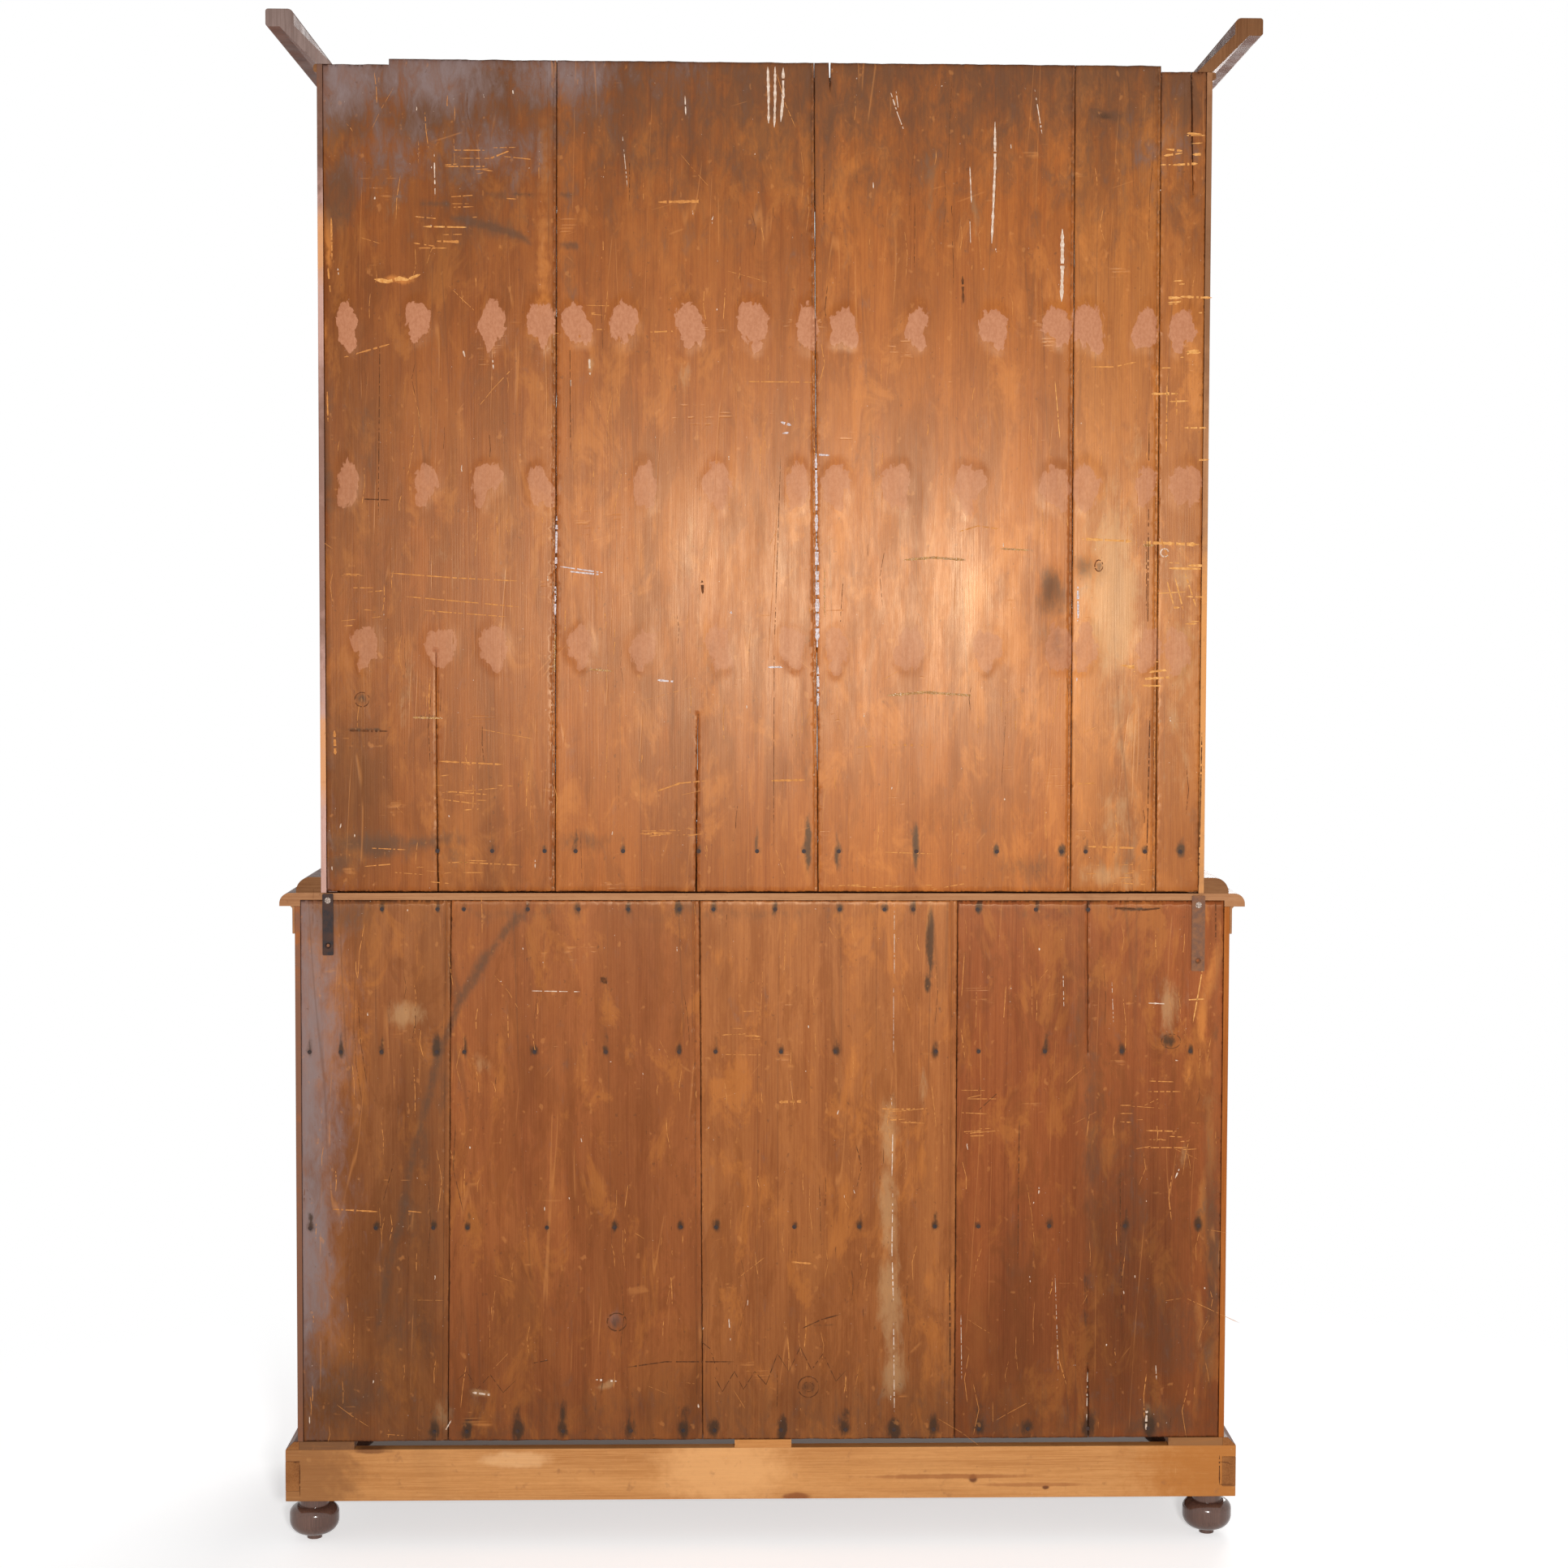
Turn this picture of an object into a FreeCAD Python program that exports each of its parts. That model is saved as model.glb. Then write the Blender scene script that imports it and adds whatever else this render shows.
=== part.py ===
import FreeCAD, Part
import os
import re

import Sketcher

# A softwood buffet in two parts. An upper cupboard with glazed doors and a sloping cornice stands on a wider
# lower case with two drawers over two panelled doors, and that stands on a plinth frame with turned feet.
# Millimetres, +Z up. The front faces -Y, the back +Y. The origin is on the floor, in the middle of the
# whole buffet's width and depth. Left is -X and right is +X, as someone facing the front sees them.

SIZES = {
    # The two cases, as seen from behind
    "upper_width": 1278,
    "upper_depth": 420,
    "upper_height": 1182,
    "lower_height": 802,
    "waist_step": 38,
    # Boards and their joints
    "board": 21,
    "shelf_board": 20,
    "back_board": 16,
    "side_lip": 8,
    "housing": 7,
    "tongue": 5,
    "tongue_thick": 5,
    "tongue_slack": 0.15,
    "seam": 0.5,
    "seam_bevel": 1.2,
    "bead_width": 9,
    "quirk": 2,
    "joint_line": 2,
    "back_rise": 8,
    "back_notch": 94,
    "overrun": 10,
    # Turned feet and the plinth frame
    "foot_height": 65,
    "foot_radius": 36,
    "foot_neck_radius": 22,
    "foot_neck_height": 15,
    "foot_nub_radius": 11,
    "foot_nub_height": 8,
    "foot_belly_round": 20,
    "foot_shoulder_round": 13,
    "foot_inset": 36,
    "foot_setback": 37,
    "dowel_radius": 12,
    "dowel_length": 35,
    "dowel_slack": 0.2,
    "plinth_height": 76,
    "plinth_board": 20,
    "plinth_out": 18,
    "plinth_chamfer": 12,
    "lap_rise": 15,
    "lap_height": 44,
    "corner_block": 70,
    "packing_height": 12,
    "packing_length": 80,
    "packing_depth": 60,
    "packing_middle": 83,
    # The lower case's top and mouldings, and its boards from its foot or as shares of its height
    "top_board": 19,
    "top_out": 22,
    "top_round": 15,
    "back_cover": 9,
    "top_nail_drop": 23.5,
    "back_rail": 28,
    "waist_out": 36,
    "waist_height": 23,
    "waist_round": 21,
    "frieze_thick": 3.5,
    "frieze_height": 40,
    "frieze_cove": 3,
    "lower_bottom_rise": 14,
    "lower_shelf_share": 0.3915,
    "dust_board_share": 0.712,
    # The upper case's boards, from its foot, its top or as shares of its height
    "upper_bottom_rise": 61,
    "shelf_low_share": 0.303,
    "shelf_middle_share": 0.5,
    "shelf_high_share": 0.693,
    "upper_top_drop": 26,
    # Cornice and the bead under it
    "crown_reach": 72,
    "crown_rise": 77,
    "crown_foot": 22,
    "crown_lip_low": 52,
    "crown_lip_width": 40,
    "crown_lip_round": 4,
    "crown_back_round": 9,
    "crown_bead_out": 5,
    "crown_bead_height": 12,
    "crown_bead_round": 4.5,
    # Front frames
    "frame_thick": 22,
    "frame_stile": 45,
    "upper_top_rail": 75,
    "lower_bottom_rail": 45,
    "drawer_rail": 24,
    "lower_top_rail": 22,
    "divider": 30,
    "guide_height": 20,
    "shelf_setback": 10,
    # Drawers
    "drawer_gap": 1.5,
    "drawer_run_gap": 0.5,
    "drawer_front": 20,
    "drawer_back_gap": 21,
    "drawer_side": 12,
    "drawer_drop": 12,
    "drawer_bottom": 8,
    "drawer_bottom_rise": 5,
    "knob_radius": 16,
    "knob_neck_radius": 8,
    "knob_neck": 12,
    "knob_head": 18,
    "knob_round": 7,
    "knob_tenon_radius": 6,
    # Doors
    "door_gap": 3,
    "door_stile": 60,
    "door_low_rail": 80,
    "door_top_rail": 64,
    "glazing_bar": 24,
    "glass": 3,
    "rebate": 7,
    "panel_edge": 6,
    "panel_field": 8,
    "panel_bevel": 38,
    "panel_slack": 1,
    "astragal_radius": 8,
    # Hinges, the door's leaf lifting off the pin of the case's leaf
    "hinge_height": 70,
    "hinge_from_end": 90,
    "leaf": 1.2,
    "leaf_set": 0.4,
    "leaf_width": 18,
    "knuckle_radius": 4,
    "knuckle_gap": 0.6,
    "pin_out": 4.5,
    "pin_radius": 2.2,
    "pin_slack": 0.05,
    "pin_cap": 5,
    # Locks
    "lock_width": 50,
    "lock_height": 44,
    "lock_depth": 14,
    "lock_wall": 1.5,
    "lock_edge": 3,
    "lock_slack": 0.3,
    "upper_lock_share": 0.4,
    "lower_lock_share": 0.545,
    "bolt_thick": 8,
    "bolt_height": 12,
    "bolt_rise": 7,
    "bolt_length": 34,
    "keep_width": 16,
    "keep_margin": 5,
    "key_radius": 2.5,
    "key_hole_slack": 0.7,
    "key_out": 12,
    "key_bow_radius": 7.5,
    "key_bow_wire": 2,
    "key_bit": 9,
    "key_bit_thick": 3,
    "key_bit_length": 8,
    "key_plate_width": 20,
    "key_plate_height": 36,
    "key_plate": 1.5,
    # Iron on the back
    "nail_radius": 3,
    "nail_tip_radius": 1,
    "nail_length": 36,
    "plate_gap": 0.3,
    "plate_thick": 2.5,
    "plate_round": 1.5,
    "plate_right_from_side": 48,
    "plate_right_width": 15.3,
    "plate_right_above": 9.4,
    "plate_right_below": 79.6,
    "plate_right_pitch": 65.6,
    "plate_right_drop": 10.4,
    "plate_left_from_side": 46,
    "plate_left_width": 19.2,
    "plate_left_above": 13.5,
    "plate_left_below": 96.5,
    "plate_left_pitch": 81.5,
    "plate_left_drop": 16.5,
    "screw_radius": 2.2,
    "screw_length": 24,
    "screw_slack": 0.08,
    "head_radius": 4.4,
    "head_depth": 2,
    "head_slack": 0.15,
    "head_proud": 0.4,
    "head_slot": 1,
}

SIDES = {"left": -1, "right": 1}

# Places along half a case's width, from its right edge in front (1) to its left edge (-1)
UPPER_SEAM_SHARES = (0.471, -0.114, -0.693, -0.886)
LOWER_SEAM_SHARES = (0.672, 0.131, -0.418)
UPPER_NAIL_SHARES = {
    "upper_bottom_rise": (
        0.738, 0.615, 0.497, 0.427, 0.32, 0.149, 0.017, -0.089,
        -0.168, -0.344, -0.527, -0.674, -0.729, -0.864, -0.945,
    ),
    "shelf_high_share * upper_height": (
        0.941, 0.774, 0.62, 0.502, 0.428, 0.319, 0.174, 0.032,
        -0.089, -0.168, -0.338, -0.517, -0.656, -0.729, -0.855, -0.938,
    ),
    "shelf_middle_share * upper_height": (
        0.937, 0.757, 0.623, 0.511, 0.271, 0.106, -0.074,
        -0.158, -0.289, -0.461, -0.655, -0.725, -0.861, -0.945,
    ),
    "shelf_low_share * upper_height": (
        0.892, 0.732, 0.611, 0.416, 0.28, 0.103, -0.062,
        -0.167, -0.326, -0.497, -0.668, -0.723, -0.865, -0.935,
    ),
}
LOWER_NAIL_SHARES = {
    "lower_height - top_nail_drop": (
        0.815, 0.697, 0.641, 0.505, 0.397, 0.291, 0.182, 0.109,
        -0.023, -0.161, -0.257, -0.319, -0.457, -0.582, -0.695,
    ),
    "dust_board_share * lower_height": (
        0.97, 0.904, 0.817, 0.7, 0.641, 0.491, 0.339, 0.182,
        0.104, -0.036, -0.153, -0.369, -0.461, -0.604, -0.77, -0.918,
    ),
    "lower_shelf_share * lower_height": (
        0.971, 0.831, 0.708, 0.635, 0.465, 0.32, 0.178, 0.102,
        -0.066, -0.206, -0.369, -0.463, -0.616, -0.78, -0.94,
    ),
    "lower_bottom_rise": (
        0.707, 0.638, 0.529, 0.431, 0.285, 0.172, 0.105,
        -0.039, -0.178, -0.283, -0.369, -0.467, -0.573, -0.703, -0.835,
    ),
}

# Levels and planes that several pieces share
UPPER_HALF = "upper_width / 2"
LOWER_HALF = "(upper_width / 2 + waist_step)"
LOWER_DEPTH = "(upper_depth + waist_step)"
REAR = "(upper_depth + crown_reach - plate_gap - plate_thick - head_proud) / 2"
BACK_INNER = f"{REAR} - back_board"
UPPER_FRONT = f"{REAR} - upper_depth"
LOWER_FRONT = f"{REAR} - {LOWER_DEPTH}"
RAIL_TOP = "foot_height + plinth_height"
CASE_FOOT = f"{RAIL_TOP} + packing_height"
WAIST = f"{CASE_FOOT} + lower_height"
UPPER_TOP = f"{WAIST} + upper_height"
DUST_TOP = f"{CASE_FOOT} + dust_board_share * lower_height + shelf_board / 2"
UPPER_OPENING = f"({UPPER_HALF} - frame_stile)"
LOWER_OPENING = f"({LOWER_HALF} - frame_stile)"
PLINTH_HALF = f"({LOWER_HALF} + plinth_out)"
HAIR = 0.001

doc = FreeCAD.newDocument("buffet")
sheet = doc.addObject("Spreadsheet::Sheet", "Sizes")
nodes = {}


def fill_sheet():
    for row, (name, size) in enumerate(SIZES.items(), start=1):
        sheet.set(f"A{row}", name)
        sheet.set(f"B{row}", str(size))
        sheet.setAlias(f"B{row}", name)
    doc.recompute()


def bound(text):
    """A sum of named sizes, with each name pointed at its cell."""

    def cell(found):
        name = found.group(0)
        return f"Sizes.{name}" if name in SIZES else name

    return re.sub(r"[a-z]\w*", cell, text)


def place(thing, x, y, z):
    for axis, text in (("x", x), ("y", y), ("z", z)):
        thing.setExpression(f"Placement.Base.{axis}", bound(text))
    return thing


def turn(thing, axis, degrees):
    thing.Placement = FreeCAD.Placement(thing.Placement.Base, FreeCAD.Rotation(axis, degrees))
    return thing


def span(side, low, high):
    """A stretch along X on the given side of the middle."""
    return (low, high) if side == "right" else (f"-({high})", f"-({low})")


def box(name, x, y, z):
    """A block between two ends along each axis."""
    block = doc.addObject("Part::Box", name)
    for length, (low, high) in (("Length", x), ("Width", y), ("Height", z)):
        block.setExpression(length, bound(f"({high}) - ({low})"))
    return place(block, x[0], y[0], z[0])


def cylinder(name, radius, height, x, y, z):
    rod = doc.addObject("Part::Cylinder", name)
    rod.setExpression("Radius", bound(radius))
    rod.setExpression("Height", bound(height))
    return place(rod, x, y, z)


def inward_cylinder(name, radius, length, x, y, z):
    """A rod that starts at y and runs towards the front."""
    rod = cylinder(name, radius, length, x, y, z)
    return turn(rod, FreeCAD.Vector(1, 0, 0), 90)


def inward_cone(name, radius, end_radius, length, x, y, z):
    """A tapered rod that starts at y and runs towards the front."""
    cone = doc.addObject("Part::Cone", name)
    for size, text in (("Radius1", radius), ("Radius2", end_radius), ("Height", length)):
        cone.setExpression(size, bound(text))
    place(cone, x, y, z)
    return turn(cone, FreeCAD.Vector(1, 0, 0), 90)


def group(name, things):
    together = doc.addObject("Part::Compound", name)
    together.Links = things
    return together


def cut(name, base, tool):
    left = doc.addObject("Part::Cut", name)
    left.Base = base
    left.Tool = tool
    return left


def fuse(name, things):
    whole = doc.addObject("Part::MultiFuse", name)
    whole.Shapes = things
    return whole


def keep(name, thing):
    """Makes this object the piece of that name."""
    thing.Label = name
    nodes[name] = thing
    return thing


def new_body(name, x, y, z):
    return place(doc.addObject("PartDesign::Body", name), x, y, z)


def outline(body, plane, points):
    """A closed outline of straight lines on one of the body's own planes."""
    sketch = body.newObject("Sketcher::SketchObject", "outline")
    support = next(feature for feature in body.Origin.OriginFeatures if feature.Role == plane)
    sketch.AttachmentSupport = (support, [""])
    sketch.MapMode = "FlatFace"
    count = len(points)
    start = FreeCAD.Vector(SIZES["board"], 0, 0)
    rough = [FreeCAD.Rotation(FreeCAD.Vector(0, 0, 1), 360 * i / count).multVec(start) for i in range(count)]
    for i in range(count):
        sketch.addGeometry(Part.LineSegment(rough[i], rough[(i + 1) % count]), False)
    for i in range(count):
        sketch.addConstraint(Sketcher.Constraint("Coincident", i, 2, (i + 1) % count, 1))
    for i, (across, along) in enumerate(points):
        for kind, now, text in (("DistanceX", rough[i].x, across), ("DistanceY", rough[i].y, along)):
            number = sketch.addConstraint(Sketcher.Constraint(kind, -1, 1, i, 1, now))
            sketch.setExpression(f"Constraints[{number}]", bound(text))
    return sketch


def pad(body, plane, points, length, symmetric=False):
    extrusion = body.newObject("PartDesign::Pad", "pad")
    extrusion.Profile = (outline(body, plane, points), [""])
    extrusion.setExpression("Length", bound(length))
    if symmetric:
        extrusion.SideType = "Symmetric"
    doc.recompute()
    return extrusion


def round_edges(body, base, chosen, radius):
    """Rounds the edges of the base feature that the test picks."""
    whole = base.Shape.BoundBox
    edges = enumerate(base.Shape.Edges, start=1)
    names = [f"Edge{i}" for i, edge in edges if chosen(edge.BoundBox, whole)]
    fillet = body.newObject("PartDesign::Fillet", "rounding")
    fillet.Base = (base, names)
    fillet.setExpression("Radius", bound(radius))
    doc.recompute()
    return fillet


def close(one, other):
    return abs(one - other) < HAIR


# Mouldings and boards that run round the front and both sides of a case


def along_outermost(part, top_only):
    """Picks the long edges that stand furthest out of the case."""

    def chosen(edge, whole):
        if part == "front":
            outermost = close(edge.YMin, whole.YMin) and close(edge.YMax, whole.YMin)
            long = close(edge.XMin, whole.XMin) and close(edge.XMax, whole.XMax)
        else:
            reach = whole.XMax if part == "right" else whole.XMin
            outermost = close(edge.XMin, reach) and close(edge.XMax, reach)
            long = close(edge.YMin, whole.YMin) and close(edge.YMax, whole.YMax)
        return outermost and long and (close(edge.ZMin, whole.ZMax) or not top_only)

    return chosen


def along_top_inner(part):
    """Picks the long top edge that lies nearest the case."""

    def chosen(edge, whole):
        top = close(edge.ZMin, whole.ZMax) and close(edge.ZMax, whole.ZMax)
        if part == "front":
            return top and close(edge.XLength, whole.XLength) and edge.YMin > whole.YMin + SIZES["board"]
        inward = edge.XMin - whole.XMin if part == "left" else whole.XMax - edge.XMax
        return top and close(edge.YLength, whole.YLength) and inward > SIZES["board"]

    return chosen


def mitre(body, part, sign, half, depth, inset, reach):
    """Cuts a run off at 45 degrees where it meets the next one at a front corner."""
    inner = (f"{sign} * ({half} - {inset} - overrun)", f"{inset} + overrun - {depth}")
    outer = (f"{sign} * ({half} + {reach} + overrun)", f"-{depth} - {reach} - overrun")
    waste = (outer[0], inner[1]) if part == "front" else (inner[0], outer[1])
    pocket = body.newObject("PartDesign::Pocket", "mitre")
    pocket.Profile = (outline(body, "XY_Plane", [inner, outer, waste]), [""])
    pocket.Type = "ThroughAll"
    pocket.Reversed = True
    before = body.Shape.Volume
    doc.recompute()
    if not body.Shape.Volume < before:
        raise ValueError(f"the mitre of {body.Label} cut nothing")


def run(name, part, section, half, depth, level, inset, reach, radius=None, top_only=False, back_radius=None):
    """One run of a moulding. The section's points are (out of the case's face, up from the level)."""
    body = new_body(name, "0", REAR, level)
    if part == "front":
        points = [(f"-{depth} - ({out})", up) for out, up in section]
        shape = pad(body, "YZ_Plane", points, f"2 * ({half} + {reach})", symmetric=True)
    else:
        points = [(f"{SIDES[part]} * ({half} + {out})", up) for out, up in section]
        shape = pad(body, "XZ_Plane", points, f"{depth} + {reach}")
    if back_radius:
        shape = round_edges(body, shape, along_top_inner(part), back_radius)
    if radius:
        shape = round_edges(body, shape, along_outermost(part, top_only), radius)
    for sign in (-1, 1) if part == "front" else (SIDES[part],):
        mitre(body, part, sign, half, depth, inset, reach)
    return body


def make_cornice():
    section = [
        ("0", "0"),
        ("crown_lip_low", "crown_lip_low"),
        ("crown_reach", "crown_lip_low"),
        ("crown_reach", "crown_rise"),
        ("crown_reach - crown_lip_width", "crown_rise"),
        ("crown_reach - crown_lip_width", "crown_reach - crown_lip_width + crown_foot"),
        ("-crown_foot", "0"),
    ]
    bead = [
        ("0", "0"),
        ("crown_bead_out", "0"),
        ("crown_bead_out", "crown_bead_height"),
        ("0", "crown_bead_height"),
    ]
    beads = []
    for part in ("front", "left", "right"):
        name = f"cornice_{part}"
        board = run(
            name, part, section, UPPER_HALF, "upper_depth", UPPER_TOP, "crown_foot", "crown_reach",
            radius="crown_lip_round", back_radius="crown_back_round",
        )
        keep(name, board)
        beads.append(
            run(
                f"bead_{part}", part, bead, UPPER_HALF, "upper_depth", f"{UPPER_TOP} - crown_bead_height",
                "0", "crown_bead_out", radius="crown_bead_round",
            )
        )
    keep("cornice_bead", group("cornice_bead", beads))


def make_waist_moulding():
    section = [("0", "0"), ("waist_out", "0"), ("waist_out", "waist_height"), ("0", "waist_height")]
    runs = [
        run(
            f"waist_{part}", part, section, UPPER_HALF, "upper_depth", WAIST, "0", "waist_out",
            radius="waist_round", top_only=True,
        )
        for part in ("front", "left", "right")
    ]
    keep("waist_moulding", group("waist_moulding", runs))


def make_frieze_strips():
    strips = []
    for side, sign in SIDES.items():
        body = new_body(f"frieze_{side}", "0", REAR, f"{WAIST} - top_board - frieze_height")
        points = [
            (f"{sign} * {LOWER_HALF}", "0"),
            (f"{sign} * ({LOWER_HALF} + frieze_thick)", "0"),
            (f"{sign} * ({LOWER_HALF} + frieze_thick)", "frieze_height - frieze_cove"),
            (f"{sign} * ({LOWER_HALF} + frieze_thick + frieze_cove)", "frieze_height"),
            (f"{sign} * {LOWER_HALF}", "frieze_height"),
        ]
        pad(body, "XZ_Plane", points, LOWER_DEPTH)
        strips.append(body)
    keep("frieze_strips", group("frieze_strips", strips))


# Plinth and feet


def make_foot(name, side, y):
    x = f"{SIDES[side]} * ({PLINTH_HALF} - foot_inset)"
    body = new_body(name, x, y, "0")
    points = [
        ("0", "0"),
        ("foot_nub_radius", "0"),
        ("foot_nub_radius", "foot_nub_height"),
        ("foot_radius", "foot_nub_height"),
        ("foot_radius", "foot_height - foot_neck_height"),
        ("foot_neck_radius", "foot_height - foot_neck_height"),
        ("foot_neck_radius", "foot_height"),
        ("dowel_radius", "foot_height"),
        ("dowel_radius", "foot_height + dowel_length"),
        ("0", "foot_height + dowel_length"),
    ]
    sketch = outline(body, "XZ_Plane", points)
    turned = body.newObject("PartDesign::Revolution", "turning")
    turned.Profile = (sketch, [""])
    turned.ReferenceAxis = (sketch, ["V_Axis"])
    turned.Angle = 360
    doc.recompute()

    def widest(edge, whole):
        return close(edge.XLength, whole.XLength) and close(edge.ZLength, 0)

    def belly(edge, whole):
        return widest(edge, whole) and edge.ZMin < whole.ZMin + SIZES["foot_belly_round"]

    shape = round_edges(body, turned, belly, "foot_belly_round")

    def shoulder(edge, whole):
        return widest(edge, whole) and edge.ZMin > whole.ZMin + SIZES["foot_height"] / 2

    round_edges(body, shape, shoulder, "foot_shoulder_round")
    return keep(name, body)


def dowel_hole(tag, side, y):
    x = f"{SIDES[side]} * ({PLINTH_HALF} - foot_inset)"
    radius = "dowel_radius + dowel_slack"
    return cylinder(f"dowel_hole_{tag}", radius, "dowel_length + overrun", x, y, "foot_height")


def make_plinth():
    section = [
        ("plinth_out - plinth_board", "0"),
        ("plinth_out", "0"),
        ("plinth_out", "plinth_height + packing_height - plinth_chamfer"),
        ("plinth_out - plinth_chamfer", "plinth_height + packing_height"),
        ("plinth_out - plinth_board", "plinth_height + packing_height"),
    ]
    rail_blank = box(
        "rail_blank",
        (f"-{PLINTH_HALF}", PLINTH_HALF),
        (f"{REAR} - plinth_board", REAR),
        ("foot_height", RAIL_TOP),
    )
    laps = [
        box(
            f"lap_{side}",
            span(side, f"{PLINTH_HALF} - plinth_board", f"{PLINTH_HALF} + overrun"),
            (f"{REAR} - plinth_board - overrun", f"{REAR} + overrun"),
            ("foot_height + lap_rise", "foot_height + lap_rise + lap_height"),
        )
        for side in SIDES
    ]
    rail = keep("plinth_back_rail", cut("plinth_back_rail", rail_blank, group("laps", laps)))
    inset = "(plinth_board - plinth_out)"
    front = run(
        "plinth_front_board", "front", section, LOWER_HALF, LOWER_DEPTH, "foot_height", inset, "plinth_out"
    )
    keep("plinth_front_board", front)
    for side in SIDES:
        blank = run(
            f"plinth_blank_{side}", side, section, LOWER_HALF, LOWER_DEPTH, "foot_height", inset, "plinth_out"
        )
        keep(f"plinth_side_{side}", cut(f"plinth_side_{side}", blank, rail))


def make_feet_and_blocks():
    inner = f"{PLINTH_HALF} - plinth_board"
    front = f"{LOWER_FRONT} - plinth_out"
    back_y = f"{REAR} - foot_setback"
    front_y = f"{front} + foot_setback"
    blocks = []
    for side in SIDES:
        make_foot(f"foot_back_{side}", side, back_y)
        make_foot(f"foot_front_{side}", side, front_y)
        across = span(side, f"{inner} - corner_block", inner)
        back = box(
            f"block_back_{side}",
            across,
            (f"{REAR} - plinth_board - corner_block", f"{REAR} - plinth_board"),
            ("foot_height", RAIL_TOP),
        )
        forward = box(
            f"block_front_{side}",
            across,
            (f"{front} + plinth_board", f"{front} + plinth_board + corner_block"),
            ("foot_height", CASE_FOOT),
        )
        blocks.append(cut(f"bored_back_{side}", back, dowel_hole(f"back_{side}", side, back_y)))
        blocks.append(cut(f"bored_front_{side}", forward, dowel_hole(f"front_{side}", side, front_y)))
        blocks.append(
            box(
                f"packing_{side}",
                span(side, f"{inner} - packing_length", inner),
                (f"{REAR} - packing_depth", REAR),
                (RAIL_TOP, CASE_FOOT),
            )
        )
    blocks.append(
        box(
            "packing_middle_block",
            ("-packing_middle / 2", "packing_middle / 2"),
            (f"{REAR} - plinth_board", REAR),
            (RAIL_TOP, CASE_FOOT),
        )
    )
    keep("plinth_blocks", group("plinth_blocks", blocks))


# Nails through the back boards


def nail_row(name, shares, half, level):
    """One row of tapered nails with flush heads."""
    row = [
        inward_cone(
            f"{name}_{i}", "nail_radius", "nail_tip_radius", "nail_length", f"{share} * {half}", REAR, level
        )
        for i, share in enumerate(shares, start=1)
    ]
    return group(f"{name}_row", row)


def make_nails():
    upper = {
        level: nail_row(f"upper_nail_{i}", shares, UPPER_HALF, f"{WAIST} + {level}")
        for i, (level, shares) in enumerate(UPPER_NAIL_SHARES.items())
    }
    lower = {
        level: nail_row(f"lower_nail_{i}", shares, LOWER_HALF, f"{CASE_FOOT} + {level}")
        for i, (level, shares) in enumerate(LOWER_NAIL_SHARES.items())
    }
    return upper, lower


# Tie plates on the back of the lower case and their screws


def make_tie_plate(side):
    """An iron strap that hangs from its top screw, with an empty countersunk hole at its foot."""
    size = f"plate_{side}_"
    x = f"{SIDES[side]} * ({LOWER_HALF} - {size}from_side)"
    pivot = f"{WAIST} - {size}drop"
    outer = f"{REAR} + plate_gap + plate_thick"
    body = new_body(f"strap_{side}", x, f"{REAR} + plate_gap + plate_thick", pivot)
    points = [
        (f"-{size}width / 2", f"-{size}below"),
        (f"{size}width / 2", f"-{size}below"),
        (f"{size}width / 2", f"{size}above"),
        (f"-{size}width / 2", f"{size}above"),
    ]
    blank = pad(body, "XZ_Plane", points, "plate_thick")

    def corner(edge, whole):
        return close(edge.YLength, whole.YLength)

    round_edges(body, blank, corner, "plate_round")
    holes = []
    for place_name, z in (("pivot", pivot), ("free", f"{pivot} - {size}pitch")):
        holes.append(
            inward_cylinder(
                f"hole_{side}_{place_name}", "screw_radius + screw_slack", "plate_thick + 2 * overrun",
                x, f"{outer} + overrun", z,
            )
        )
        holes.append(
            inward_cone(
                f"sink_{side}_{place_name}", "head_radius + head_slack", "screw_radius + head_slack",
                "head_depth + head_slack", x, outer, z,
            )
        )
    keep(f"tie_plate_{side}", cut(f"tie_plate_{side}", body, group(f"holes_{side}", holes)))


def make_screw(side):
    size = f"plate_{side}_"
    x = f"{SIDES[side]} * ({LOWER_HALF} - {size}from_side)"
    pivot = f"{WAIST} - {size}drop"
    outer = f"{REAR} + plate_gap + plate_thick"
    shank = inward_cylinder(f"shank_{side}", "screw_radius", "screw_length", x, outer, pivot)
    head = inward_cone(f"head_{side}", "head_radius", "screw_radius", "head_depth", x, outer, pivot)
    cap = inward_cylinder(f"cap_{side}", "head_radius", "head_proud", x, f"{outer} + head_proud", pivot)
    slot = box(
        f"slot_{side}",
        (f"{x} - head_radius", f"{x} + head_radius"),
        (f"{outer} - head_slot / 2", f"{outer} + head_proud + overrun"),
        (f"{pivot} - head_slot / 2", f"{pivot} + head_slot / 2"),
    )
    return cut(f"screw_{side}", fuse(f"screw_blank_{side}", [shank, head, cap]), slot)


# Carcass boards


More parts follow.
